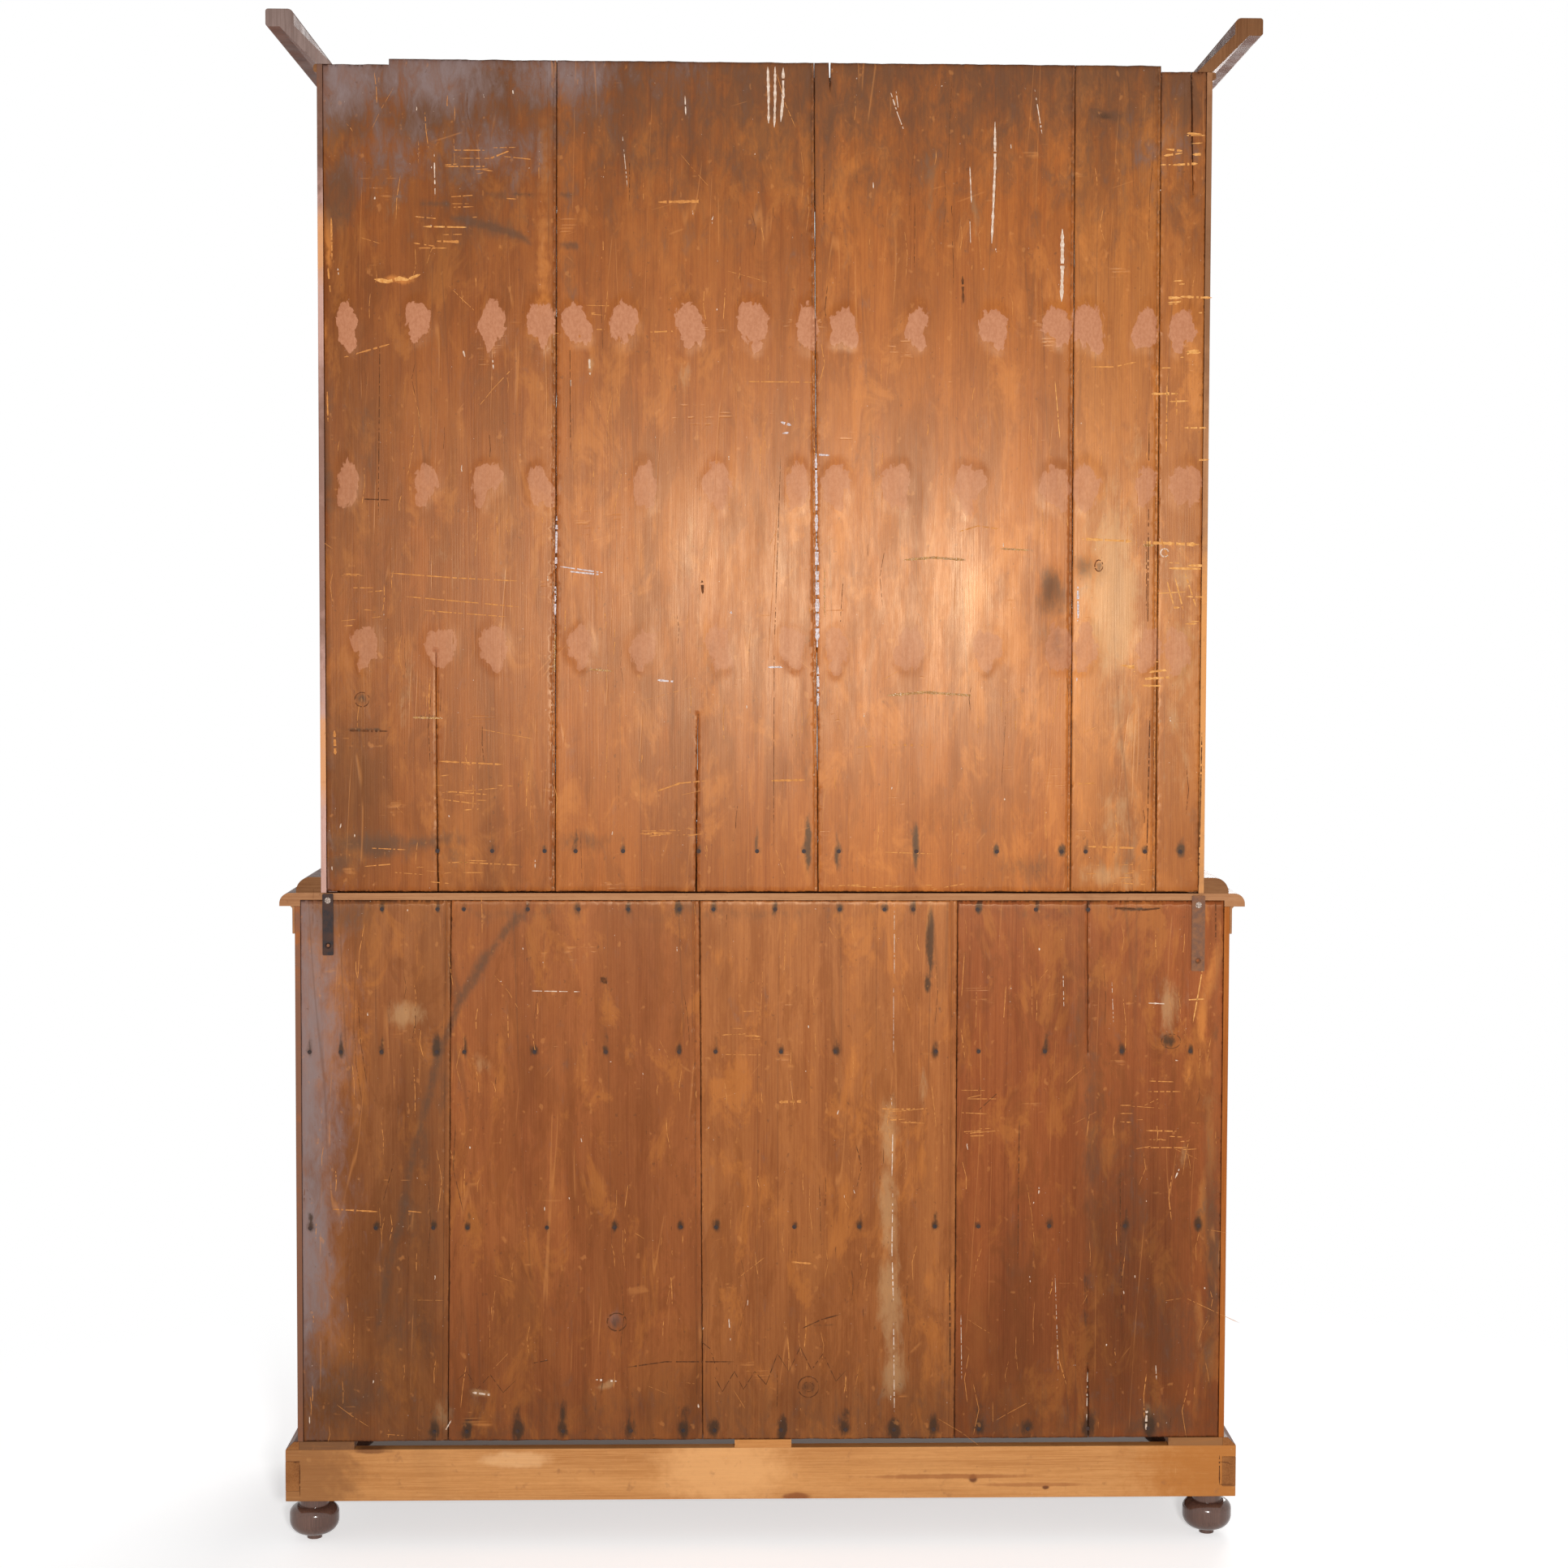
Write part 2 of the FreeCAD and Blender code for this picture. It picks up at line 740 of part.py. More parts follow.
def back_board(name, low, high, bottom, top, grooved, tongued, beaded):
    """A back board, grooved in its right edge, tongued on its left edge, with a bead beside the groove."""
    body = new_body(f"{name}_blank", "0", REAR, bottom)
    upper_cheek = "(back_board - tongue_thick) / 2"
    lower_cheek = "(back_board + tongue_thick) / 2"
    points = [(f"{low} + seam_bevel", "0")]
    if beaded:
        points += [
            (f"{high} - bead_width - quirk", "0"),
            (f"{high} - bead_width - quirk", "-quirk"),
            (f"{high} - bead_width", "-quirk"),
            (f"{high} - bead_width", "0"),
        ]
    points += [(f"{high} - seam_bevel", "0"), (high, "-seam_bevel")]
    if grooved:
        points += [
            (high, f"tongue_slack - {upper_cheek}"),
            (f"{high} - tongue - tongue_slack", f"tongue_slack - {upper_cheek}"),
            (f"{high} - tongue - tongue_slack", f"-tongue_slack - {lower_cheek}"),
            (high, f"-tongue_slack - {lower_cheek}"),
        ]
    points += [(high, "-back_board"), (low, "-back_board")]
    if tongued:
        points += [
            (low, f"-{lower_cheek}"),
            (f"{low} - tongue", f"-{lower_cheek}"),
            (f"{low} - tongue", f"-{upper_cheek}"),
            (low, f"-{upper_cheek}"),
        ]
    points += [(low, "-seam_bevel")]
    pad(body, "XY_Plane", points, f"({top}) - ({bottom})")
    return body


def make_back_boards(case, shares, half, bottom, top, tools, beaded):
    edge = f"({half} - side_lip)"
    seams = [edge] + [f"{share} * {half}" for share in shares] + [f"-{edge}"]
    count = len(seams) - 1
    for i in range(count):
        name = f"{case}_back_board_{i + 1}"
        grooved = i > 0
        tongued = i < count - 1
        high = f"({seams[i]} - seam / 2)" if grooved else seams[i]
        low = f"({seams[i + 1]} + seam / 2)" if tongued else seams[i + 1]
        blank = back_board(name, low, high, bottom, top, grooved, tongued, beaded and grooved)
        keep(name, cut(name, blank, tools))


def notches():
    """The low places at both ends of the upper back boards, where the cornice sits."""
    return [
        box(
            f"notch_{side}",
            span(side, f"{UPPER_HALF} - back_notch", f"{UPPER_HALF} + overrun"),
            (f"{REAR} - back_board - overrun", f"{REAR} + overrun"),
            (UPPER_TOP, f"{UPPER_TOP} + back_rise + overrun"),
        )
        for side in SIDES
    ]


def side_board(name, side, half, depth, bottom, top):
    """A side board with a rebate for the back boards."""
    sign = SIDES[side]
    body = new_body(f"{name}_blank", "0", REAR, bottom)
    points = [
        (f"{sign} * {half}", "0"),
        (f"{sign} * ({half} - side_lip)", "0"),
        (f"{sign} * ({half} - side_lip)", "-back_board"),
        (f"{sign} * ({half} - board)", "-back_board"),
        (f"{sign} * ({half} - board)", f"frame_thick - {depth}"),
        (f"{sign} * {half}", f"frame_thick - {depth}"),
    ]
    pad(body, "XY_Plane", points, f"({top}) - ({bottom})")
    return body


def level_board(name, half, front, level):
    """A bottom, shelf or top board, housed in both sides."""
    reach = f"({half} - board + housing)"
    return box(
        name,
        (f"-{reach}", reach),
        (front, BACK_INNER),
        (f"{level} - shelf_board / 2", f"{level} + shelf_board / 2"),
    )


def make_upper_case(nails):
    behind_frame = f"{UPPER_FRONT} + frame_thick"
    bottom_blank = level_board("upper_bottom_blank", UPPER_HALF, behind_frame, f"{WAIST} + upper_bottom_rise")
    bottom = keep("upper_bottom_board", cut("upper_bottom_board", bottom_blank, nails["upper_bottom_rise"]))
    top = level_board("upper_top_board", UPPER_HALF, behind_frame, f"{UPPER_TOP} - upper_top_drop")
    keep("upper_top_board", top)
    shelves = []
    for name in ("low", "middle", "high"):
        level = f"shelf_{name}_share * upper_height"
        blank = level_board(
            f"shelf_blank_{name}", UPPER_HALF, f"{behind_frame} + shelf_setback", f"{WAIST} + {level}"
        )
        shelves.append(cut(f"shelf_{name}", blank, nails[level]))
    shelf_group = keep("upper_shelves", group("upper_shelves", shelves))
    for side in SIDES:
        name = f"upper_side_{side}"
        blank = side_board(name, side, UPPER_HALF, "upper_depth", WAIST, UPPER_TOP)
        tool = group(f"{name}_tools", [bottom, top, shelf_group, *nails.values()])
        keep(name, cut(name, blank, tool))
    tools = group("upper_back_tools", [*nails.values(), *notches()])
    foot = f"{WAIST} + joint_line"
    head = f"{UPPER_TOP} + back_rise"
    make_back_boards("upper", UPPER_SEAM_SHARES, UPPER_HALF, foot, head, tools, False)


def make_lower_top(tools):
    """The lower case's top, with a rounded edge on three sides and a rebate for the back boards."""
    body = new_body("lower_top_blank", "0", REAR, f"{WAIST} - top_board")
    reach = f"({LOWER_HALF} + top_out)"
    points = [
        (f"-{reach}", "0"),
        (f"-{reach}", f"-{LOWER_DEPTH} - top_out"),
        (reach, f"-{LOWER_DEPTH} - top_out"),
        (reach, "0"),
    ]
    slab = pad(body, "XY_Plane", points, "top_board")

    def moulded(edge, whole):
        top = close(edge.ZMin, whole.ZMax) and close(edge.ZMax, whole.ZMax)
        return top and not close(edge.YMin, whole.YMax)

    round_edges(body, slab, moulded, "top_round")
    inner = f"({LOWER_HALF} - side_lip)"
    rebate = box(
        "top_rebate",
        (f"-{inner}", inner),
        (BACK_INNER, f"{REAR} + overrun"),
        (f"{WAIST} - top_board - overrun", f"{WAIST} - top_board + back_cover"),
    )
    keep("lower_top_board", cut("lower_top_board", body, group("top_tools", [rebate, *tools])))


def make_lower_case(nails, screws):
    behind_frame = f"{LOWER_FRONT} + frame_thick"
    boards = []
    for name, level, front in (
        ("lower_bottom_board", "lower_bottom_rise", behind_frame),
        ("lower_shelf", "lower_shelf_share * lower_height", f"{behind_frame} + shelf_setback"),
        ("dust_board", "dust_board_share * lower_height", behind_frame),
    ):
        blank = level_board(f"{name}_blank", LOWER_HALF, front, f"{CASE_FOOT} + {level}")
        boards.append(keep(name, cut(name, blank, nails[level])))
    make_lower_top([*nails.values(), *screws])
    rail = box(
        "back_rail_blank",
        (f"board - {LOWER_HALF}", f"{LOWER_HALF} - board"),
        (f"{BACK_INNER} - board", BACK_INNER),
        (f"{WAIST} - top_board - back_rail", f"{WAIST} - top_board"),
    )
    tools = group("lower_back_tools", [*nails.values(), *screws])
    keep("lower_back_rail", cut("lower_back_rail", rail, tools))
    for side in SIDES:
        name = f"lower_side_{side}"
        blank = side_board(name, side, LOWER_HALF, LOWER_DEPTH, CASE_FOOT, f"{WAIST} - top_board")
        keep(name, cut(name, blank, group(f"{name}_tools", [*boards, *nails.values()])))
    make_back_boards(
        "lower", LOWER_SEAM_SHARES, LOWER_HALF, CASE_FOOT, f"{WAIST} - top_board + back_cover", tools, True
    )
    divider = box(
        "drawer_divider",
        ("-divider / 2", "divider / 2"),
        (behind_frame, f"{BACK_INNER} - board"),
        (DUST_TOP, f"{WAIST} - top_board"),
    )
    keep("drawer_divider", divider)
    guides = [
        box(
            f"guide_{side}",
            span(side, LOWER_OPENING, f"{LOWER_HALF} - board"),
            (behind_frame, BACK_INNER),
            (DUST_TOP, f"{DUST_TOP} + guide_height"),
        )
        for side in SIDES
    ]
    keep("drawer_guides", group("drawer_guides", guides))


# Front frames


def frame_stiles(case, half, front, bottom, top):
    return [
        box(
            f"{case}_stile_{side}",
            span(side, f"{half} - frame_stile", half),
            (front, f"{front} + frame_thick"),
            (bottom, top),
        )
        for side in SIDES
    ]


def frame_rail(name, opening, front, bottom, top):
    return box(name, (f"-{opening}", opening), (front, f"{front} + frame_thick"), (bottom, top))


def make_front_frames():
    upper = frame_stiles("upper", UPPER_HALF, UPPER_FRONT, WAIST, UPPER_TOP)
    bottom_top = f"{WAIST} + upper_bottom_rise + shelf_board / 2"
    upper.append(frame_rail("upper_low_rail", UPPER_OPENING, UPPER_FRONT, WAIST, bottom_top))
    upper.append(
        frame_rail("upper_high_rail", UPPER_OPENING, UPPER_FRONT, f"{UPPER_TOP} - upper_top_rail", UPPER_TOP)
    )
    keep("upper_front_frame", group("upper_front_frame", upper))
    case_top = f"{WAIST} - top_board"
    lower = frame_stiles("lower", LOWER_HALF, LOWER_FRONT, CASE_FOOT, case_top)
    for name, bottom, top in (
        ("lower_low_rail", CASE_FOOT, f"{CASE_FOOT} + lower_bottom_rail"),
        ("lower_drawer_rail", f"{DUST_TOP} - drawer_rail", DUST_TOP),
        ("lower_high_rail", f"{case_top} - lower_top_rail", case_top),
    ):
        lower.append(frame_rail(name, LOWER_OPENING, LOWER_FRONT, bottom, top))
    lower.append(
        frame_rail("drawer_muntin", "(divider / 2)", LOWER_FRONT, DUST_TOP, f"{case_top} - lower_top_rail")
    )
    keep("lower_front_frame", group("lower_front_frame", lower))


# Drawers


def make_knob(name, x, z):
    body = new_body(name, x, LOWER_FRONT, z)
    points = [
        ("0", "-drawer_front"),
        ("knob_tenon_radius", "-drawer_front"),
        ("knob_tenon_radius", "0"),
        ("knob_neck_radius", "0"),
        ("knob_neck_radius", "knob_neck"),
        ("knob_radius", "knob_neck"),
        ("knob_radius", "knob_neck + knob_head"),
        ("0", "knob_neck + knob_head"),
    ]
    sketch = outline(body, "XZ_Plane", points)
    turned = body.newObject("PartDesign::Revolution", "turning")
    turned.Profile = (sketch, [""])
    turned.ReferenceAxis = (sketch, ["V_Axis"])
    turned.Angle = 360
    doc.recompute()

    def rim(edge, whole):
        return close(edge.XLength, whole.XLength) and close(edge.ZLength, 0)

    round_edges(body, turned, rim, "knob_round")
    return turn(body, FreeCAD.Vector(1, 0, 0), 90)


def make_drawer(side):
    """Front, two sides, back and bottom, with two turned knobs tenoned through the front."""
    low_x = "divider / 2 + drawer_gap"
    high_x = f"{LOWER_OPENING} - drawer_gap"
    bottom = f"{DUST_TOP} + drawer_run_gap"
    top = f"{WAIST} - top_board - lower_top_rail - drawer_gap"
    behind = f"{LOWER_FRONT} + drawer_front"
    end = f"{BACK_INNER} - board - drawer_back_gap"
    rim = f"{top} - drawer_drop"
    front_blank = box(f"drawer_front_{side}", span(side, low_x, high_x), (LOWER_FRONT, behind), (bottom, top))
    knobs = []
    holes = []
    middle = f"({bottom} + {top}) / 2"
    for i, near_share in enumerate((1 / 4, 3 / 4)):
        x = f"{SIDES[side]} * ({low_x} + {near_share} * ({high_x} - {low_x}))"
        knobs.append(make_knob(f"knob_{side}_{i}", x, middle))
        holes.append(
            inward_cylinder(
                f"knob_hole_{side}_{i}", "knob_tenon_radius", "drawer_front + 2 * overrun",
                x, f"{behind} + overrun", middle,
            )
        )
    front = cut(f"drawer_front_bored_{side}", front_blank, group(f"knob_holes_{side}", holes))
    inner_low = f"{low_x} + drawer_side"
    inner_high = f"{high_x} - drawer_side"
    walls = [
        box(f"drawer_near_{side}", span(side, low_x, inner_low), (behind, end), (bottom, rim)),
        box(f"drawer_far_{side}", span(side, inner_high, high_x), (behind, end), (bottom, rim)),
        box(
            f"drawer_back_{side}",
            span(side, inner_low, inner_high),
            (f"{end} - drawer_side", end),
            (bottom, rim),
        ),
        box(
            f"drawer_floor_{side}",
            span(side, inner_low, inner_high),
            (behind, f"{end} - drawer_side"),
            (f"{bottom} + drawer_bottom_rise", f"{bottom} + drawer_bottom_rise + drawer_bottom"),
        ),
    ]
    keep(f"drawer_{side}", group(f"drawer_{side}", [front, *walls, *knobs]))


# Doors


def key_axis():
    return "(lock_edge + lock_width / 2)"


def make_keyhole(case, front, level):
    """The way of the key through key plate, stile and lock case."""
    behind = f"{front} + frame_thick + lock_depth / 2"
    length = "frame_thick + lock_depth / 2 + overrun"
    half = "(key_bit_thick / 2 + key_hole_slack)"
    throat = inward_cylinder(
        f"{case}_throat", "key_radius + key_hole_slack", length, key_axis(), behind, level
    )
    slot = box(
        f"{case}_slot",
        (f"{key_axis()} - {half}", f"{key_axis()} + {half}"),
        (f"{front} - overrun", behind),
        (f"{level} - key_bit - key_hole_slack", level),
    )
    return fuse(f"{case}_keyhole", [throat, slot])


def door_edges(opening):
    """The door's meeting edge and hinge edge, from the middle outwards."""
    return "door_gap / 2", f"{opening} - door_gap"


def door_members(tag, side, opening, front, bottom, top, bars):
    """Stiles, rails and glazing bars, and the openings between them from the bottom up."""
    meeting, hinged = door_edges(opening)
    thick = (front, f"{front} + frame_thick")
    inner = span(side, f"{meeting} + door_stile", f"{hinged} - door_stile")
    members = [
        box(f"{tag}_meeting_stile", span(side, meeting, f"{meeting} + door_stile"), thick, (bottom, top)),
        box(f"{tag}_hinge_stile", span(side, f"{hinged} - door_stile", hinged), thick, (bottom, top)),
    ]
    lows = [bottom] + [f"{bar} - glazing_bar / 2" for bar in bars] + [f"{top} - door_top_rail"]
    highs = [f"{bottom} + door_low_rail"] + [f"{bar} + glazing_bar / 2" for bar in bars] + [top]
    for i, (low, high) in enumerate(zip(lows, highs)):
        members.append(box(f"{tag}_rail_{i}", inner, thick, (low, high)))
    return members, list(zip(highs[:-1], lows[1:]))


def make_glazed_door(side, keyhole):
    bottom = f"{WAIST} + upper_bottom_rise + shelf_board / 2 + door_gap"
    top = f"{UPPER_TOP} - upper_top_rail - door_gap"
    bars = [f"{WAIST} + shelf_{name}_share * upper_height" for name in ("low", "middle", "high")]
    tag = f"upper_door_{side}"
    members, gaps = door_members(tag, side, UPPER_OPENING, UPPER_FRONT, bottom, top, bars)
    meeting, hinged = door_edges(UPPER_OPENING)
    inner = span(side, f"{meeting} + door_stile - rebate", f"{hinged} - door_stile + rebate")
    middle = f"{UPPER_FRONT} + frame_thick / 2"
    panes = [
        box(
            f"{tag}_pane_{i}",
            inner,
            (f"{middle} - glass / 2", f"{middle} + glass / 2"),
            (f"{low} - rebate", f"{high} + rebate"),
        )
        for i, (low, high) in enumerate(gaps)
    ]
    glass = keep(f"{tag}_glass", group(f"{tag}_glass", panes))
    finish_door(tag, side, members, [glass], UPPER_FRONT, bottom, top, keyhole)


def make_panelled_door(side, keyhole):
    bottom = f"{CASE_FOOT} + lower_bottom_rail + door_gap"
    top = f"{DUST_TOP} - drawer_rail - door_gap"
    tag = f"lower_door_{side}"
    members, gaps = door_members(tag, side, LOWER_OPENING, LOWER_FRONT, bottom, top, [])
    meeting, hinged = door_edges(LOWER_OPENING)
    low, high = gaps[0]
    middle = f"{LOWER_FRONT} + frame_thick / 2"
    near = f"{meeting} + door_stile"
    far = f"{hinged} - door_stile"
    sheet_of_wood = box(
        f"{tag}_panel_sheet",
        span(side, f"{near} - rebate", f"{far} + rebate"),
        (middle, f"{middle} + panel_edge"),
        (f"{low} - rebate", f"{high} + rebate"),
    )
    field = doc.addObject("Part::Wedge", f"{tag}_panel_field")
    left, right = span(side, f"{near} + panel_slack", f"{far} - panel_slack")
    for corner, text in (
        ("Xmin", f"{left} + panel_bevel"),
        ("Xmax", f"{right} - panel_bevel"),
        ("Zmin", f"{low} + panel_slack + panel_bevel"),
        ("Zmax", f"{high} - panel_slack - panel_bevel"),
        ("Ymin", f"{middle} - panel_field"),
        ("Ymax", middle),
        ("X2min", left),
        ("X2max", right),
        ("Z2min", f"{low} + panel_slack"),
        ("Z2max", f"{high} - panel_slack"),
    ):
        field.setExpression(corner, bound(text))
    panel = fuse(f"{tag}_panel", [sheet_of_wood, field])
    finish_door(tag, side, members, [panel], LOWER_FRONT, bottom, top, keyhole, extra=[panel])


def finish_door(tag, side, members, fillings, front, bottom, top, keyhole, extra=()):
    """Grooves the frame for its filling. The right-hand door also gets its keyhole and its bead."""
    tools = [*fillings]
    if side == "right":
        tools.append(keyhole)
    frame = cut(f"{tag}_frame", group(f"{tag}_members", members), group(f"{tag}_tools", tools))
    pieces = [frame, *extra]
    if side == "right":
        bead = cylinder(
            f"{tag}_astragal", "astragal_radius", f"({top}) - ({bottom})",
            "door_gap / 2 + astragal_radius", front, bottom,
        )
        bead.Angle = 180
        pieces.append(turn(bead, FreeCAD.Vector(0, 0, 1), 180))
    keep(tag, group(tag, pieces))


# Hinges


def make_hinge(tag, side, opening, front, bottom):
    """The leaf with the pin on the case's stile, and the leaf with the socket on the door's edge."""
    sign = SIDES[side]
    pin_x = f"{sign} * ({opening} - door_gap / 2)"
    pin_y = f"{front} - pin_out"
    half = f"{bottom} + hinge_height / 2"
    plate_y = (f"{front} + leaf_set", f"{front} + leaf_width")
    bridge_y = (pin_y, f"{front} + leaf_set")
    case_x = span(side, f"{opening} - leaf", opening)
    door_x = span(side, f"{opening} - door_gap", f"{opening} - door_gap + leaf")
    low = (bottom, f"{half} - knuckle_gap / 2")
    high = (f"{half} + knuckle_gap / 2", f"{bottom} + hinge_height")
    whole = (bottom, f"{bottom} + hinge_height")
    knuckle = "hinge_height / 2 - knuckle_gap / 2"
    case_leaf = fuse(
        f"{tag}_case_leaf",
        [
            box(f"{tag}_case_plate", case_x, plate_y, whole),
            box(f"{tag}_case_bridge", case_x, bridge_y, low),
            cylinder(f"{tag}_low_knuckle", "knuckle_radius", knuckle, pin_x, pin_y, bottom),
            cylinder(f"{tag}_pin", "pin_radius", "hinge_height - pin_cap", pin_x, pin_y, bottom),
        ],
    )
    door_blank = fuse(
        f"{tag}_door_blank",
        [
            box(f"{tag}_door_plate", door_x, plate_y, whole),
            box(f"{tag}_door_bridge", door_x, bridge_y, high),
            cylinder(f"{tag}_high_knuckle", "knuckle_radius", knuckle, pin_x, pin_y, high[0]),
        ],
    )
    bore = cylinder(
        f"{tag}_bore", "pin_radius + pin_slack", "hinge_height - pin_cap + knuckle_gap", pin_x, pin_y, bottom
    )
    return case_leaf, cut(f"{tag}_door_leaf", door_blank, bore)


# Locks


def lock_planes(front):
    back = f"{front} + frame_thick"
    return back, f"{back} + lock_depth"


def make_lock(case, front, level, keyhole):
    """A box lock on the back of the right-hand door, with its key plate, key, bolt and the keep opposite."""
    near, far = lock_planes(front)
    edge = "lock_edge"
    end = "lock_edge + lock_width"
    outer = box(
        f"{case}_lock_box",
        (edge, end),
        (near, far),
        (f"{level} - lock_height / 2", f"{level} + lock_height / 2"),
    )
    cavity = box(
        f"{case}_lock_cavity",
        (f"{edge} + lock_wall", f"{end} - lock_wall"),
        (f"{near} + lock_wall", f"{far} - lock_wall"),
        (f"{level} - lock_height / 2 + lock_wall", f"{level} + lock_height / 2 - lock_wall"),
    )
    middle = f"({near} + {far}) / 2"
    bolt_y = (f"{middle} - bolt_thick / 2", f"{middle} + bolt_thick / 2")
    bolt_z = (f"{level} + bolt_rise", f"{level} + bolt_rise + bolt_height")
    slot = box(
        f"{case}_bolt_slot",
        (f"{edge} - overrun", f"{edge} + lock_wall + lock_slack"),
        (f"{bolt_y[0]} - lock_slack", f"{bolt_y[1]} + lock_slack"),
        (f"{bolt_z[0]} - lock_slack", f"{bolt_z[1]} + lock_slack"),
    )
    lock_case = cut(f"{case}_lock_case", outer, group(f"{case}_lock_tools", [cavity, slot, keyhole]))
    plate = box(
        f"{case}_key_plate_blank",
        (f"{key_axis()} - key_plate_width / 2", f"{key_axis()} + key_plate_width / 2"),
        (f"{front} - key_plate", front),
        (f"{level} - key_plate_height / 2", f"{level} + key_plate_height / 2"),
    )
    key_plate = cut(f"{case}_key_plate", plate, keyhole)
    bolt = box(f"{case}_lock_bolt", (edge, f"{edge} + bolt_length"), bolt_y, bolt_z)
    keep(f"{case}_lock_bolt", bolt)
    keep_blank = box(
        f"{case}_keep_blank",
        (f"-{edge} - keep_width", f"-{edge}"),
        (near, far),
        (f"{bolt_z[0]} - keep_margin", f"{bolt_z[1]} + keep_margin"),
    )
    mortise = box(
        f"{case}_keep_mortise",
        (f"-{edge} - keep_width - overrun", f"-{edge} + overrun"),
        (f"{bolt_y[0]} - lock_slack", f"{bolt_y[1]} + lock_slack"),
        (f"{bolt_z[0]} - lock_slack", f"{bolt_z[1]} + lock_slack"),
    )
    door_keep = cut(f"{case}_keep", keep_blank, mortise)
    make_key(case, front, level)
    return [lock_case, key_plate], [door_keep]


def make_key(case, front, level):
    """Bow, shank and bit. The bit hangs down at rest, in line with the keyhole."""
    near, far = lock_planes(front)
    middle = f"({near} + {far}) / 2"
    tip = f"{middle} + key_bit_length / 2"
    shank = inward_cylinder(
        f"{case}_shank", "key_radius", f"{tip} - ({front} - key_out)", key_axis(), tip, level
    )
    bit = box(
        f"{case}_bit",
        (f"{key_axis()} - key_bit_thick / 2", f"{key_axis()} + key_bit_thick / 2"),
        (f"{middle} - key_bit_length / 2", tip),
        (f"{level} - key_bit", level),
    )
    bow = doc.addObject("Part::Torus", f"{case}_bow")
    bow.setExpression("Radius1", bound("key_bow_radius"))
    bow.setExpression("Radius2", bound("key_bow_wire"))
    place(bow, key_axis(), f"{front} - key_out - key_bow_radius", level)
    turn(bow, FreeCAD.Vector(0, 1, 0), 90)
    keep(f"{case}_key", fuse(f"{case}_key", [shank, bit, bow]))


def make_doors_and_iron():
    case_leaves = []
    upper_bottom = f"{WAIST} + upper_bottom_rise + shelf_board / 2 + door_gap"
    upper_top = f"{UPPER_TOP} - upper_top_rail - door_gap"
    lower_bottom = f"{CASE_FOOT} + lower_bottom_rail + door_gap"
    lower_top = f"{DUST_TOP} - drawer_rail - door_gap"
    upper_level = f"{WAIST} + upper_lock_share * upper_height"
    lower_level = f"{CASE_FOOT} + lower_lock_share * lower_height"
    for case, opening, front, bottom, top, level, three in (
        ("upper", UPPER_OPENING, UPPER_FRONT, upper_bottom, upper_top, upper_level, True),
        ("lower", LOWER_OPENING, LOWER_FRONT, lower_bottom, lower_top, lower_level, False),
    ):
        keyhole = make_keyhole(case, front, level)
        right_iron, left_iron = make_lock(case, front, level, keyhole)
        for side in SIDES:
            if case == "upper":
                make_glazed_door(side, keyhole)
            else:
                make_panelled_door(side, keyhole)
            places = [f"{bottom} + hinge_from_end", f"{top} - hinge_from_end - hinge_height"]
            if three:
                places.append(f"({bottom} + {top} - hinge_height) / 2")
            iron = list(right_iron if side == "right" else left_iron)
            for i, z in enumerate(places):
                case_leaf, door_leaf = make_hinge(f"{case}_{side}_hinge_{i}", side, opening, front, z)
                case_leaves.append(case_leaf)
                iron.append(door_leaf)
            name = f"{case}_door_{side}_iron"
            keep(name, group(name, iron))
    keep("case_hinge_leaves", group("case_hinge_leaves", case_leaves))


def check_and_write():
    doc.recompute()
    for thing in doc.Objects:
        faults = [word for word in thing.State if word in ("Invalid", "Error")]
        if faults:
            raise ValueError(f"{thing.Label}: {faults}")
    for name, thing in nodes.items():
        shape = thing.Shape
        if shape.isNull() or not shape.isValid() or not shape.Solids:
            raise ValueError(f"{name}: its shape is null, empty or not valid")
    os.makedirs("parts", exist_ok=True)
    for name, thing in nodes.items():
        thing.Shape.exportStep(f"parts/{name}.step")
        print(f"{name}: {len(thing.Shape.Solids)} solids")
    print(f"{len(nodes)} pieces")


def build():
    fill_sheet()
    make_plinth()
    make_feet_and_blocks()
    upper_nails, lower_nails = make_nails()
    screws = [make_screw(side) for side in SIDES]
    keep("back_fasteners", group("back_fasteners", [*upper_nails.values(), *lower_nails.values(), *screws]))
    for side in SIDES:
        make_tie_plate(side)
    make_lower_case(lower_nails, screws)
    make_waist_moulding()
    make_frieze_strips()
    make_upper_case(upper_nails)
    make_cornice()
    make_front_frames()
    for side in SIDES:
        make_drawer(side)
    make_doors_and_iron()
    check_and_write()


build()
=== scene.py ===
"""Looks for a two-part softwood buffet, seen from behind as in the photograph."""

import math

import bpy
import numpy as np
from mathutils import Euler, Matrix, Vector, noise
from mathutils.geometry import delaunay_2d_cdt


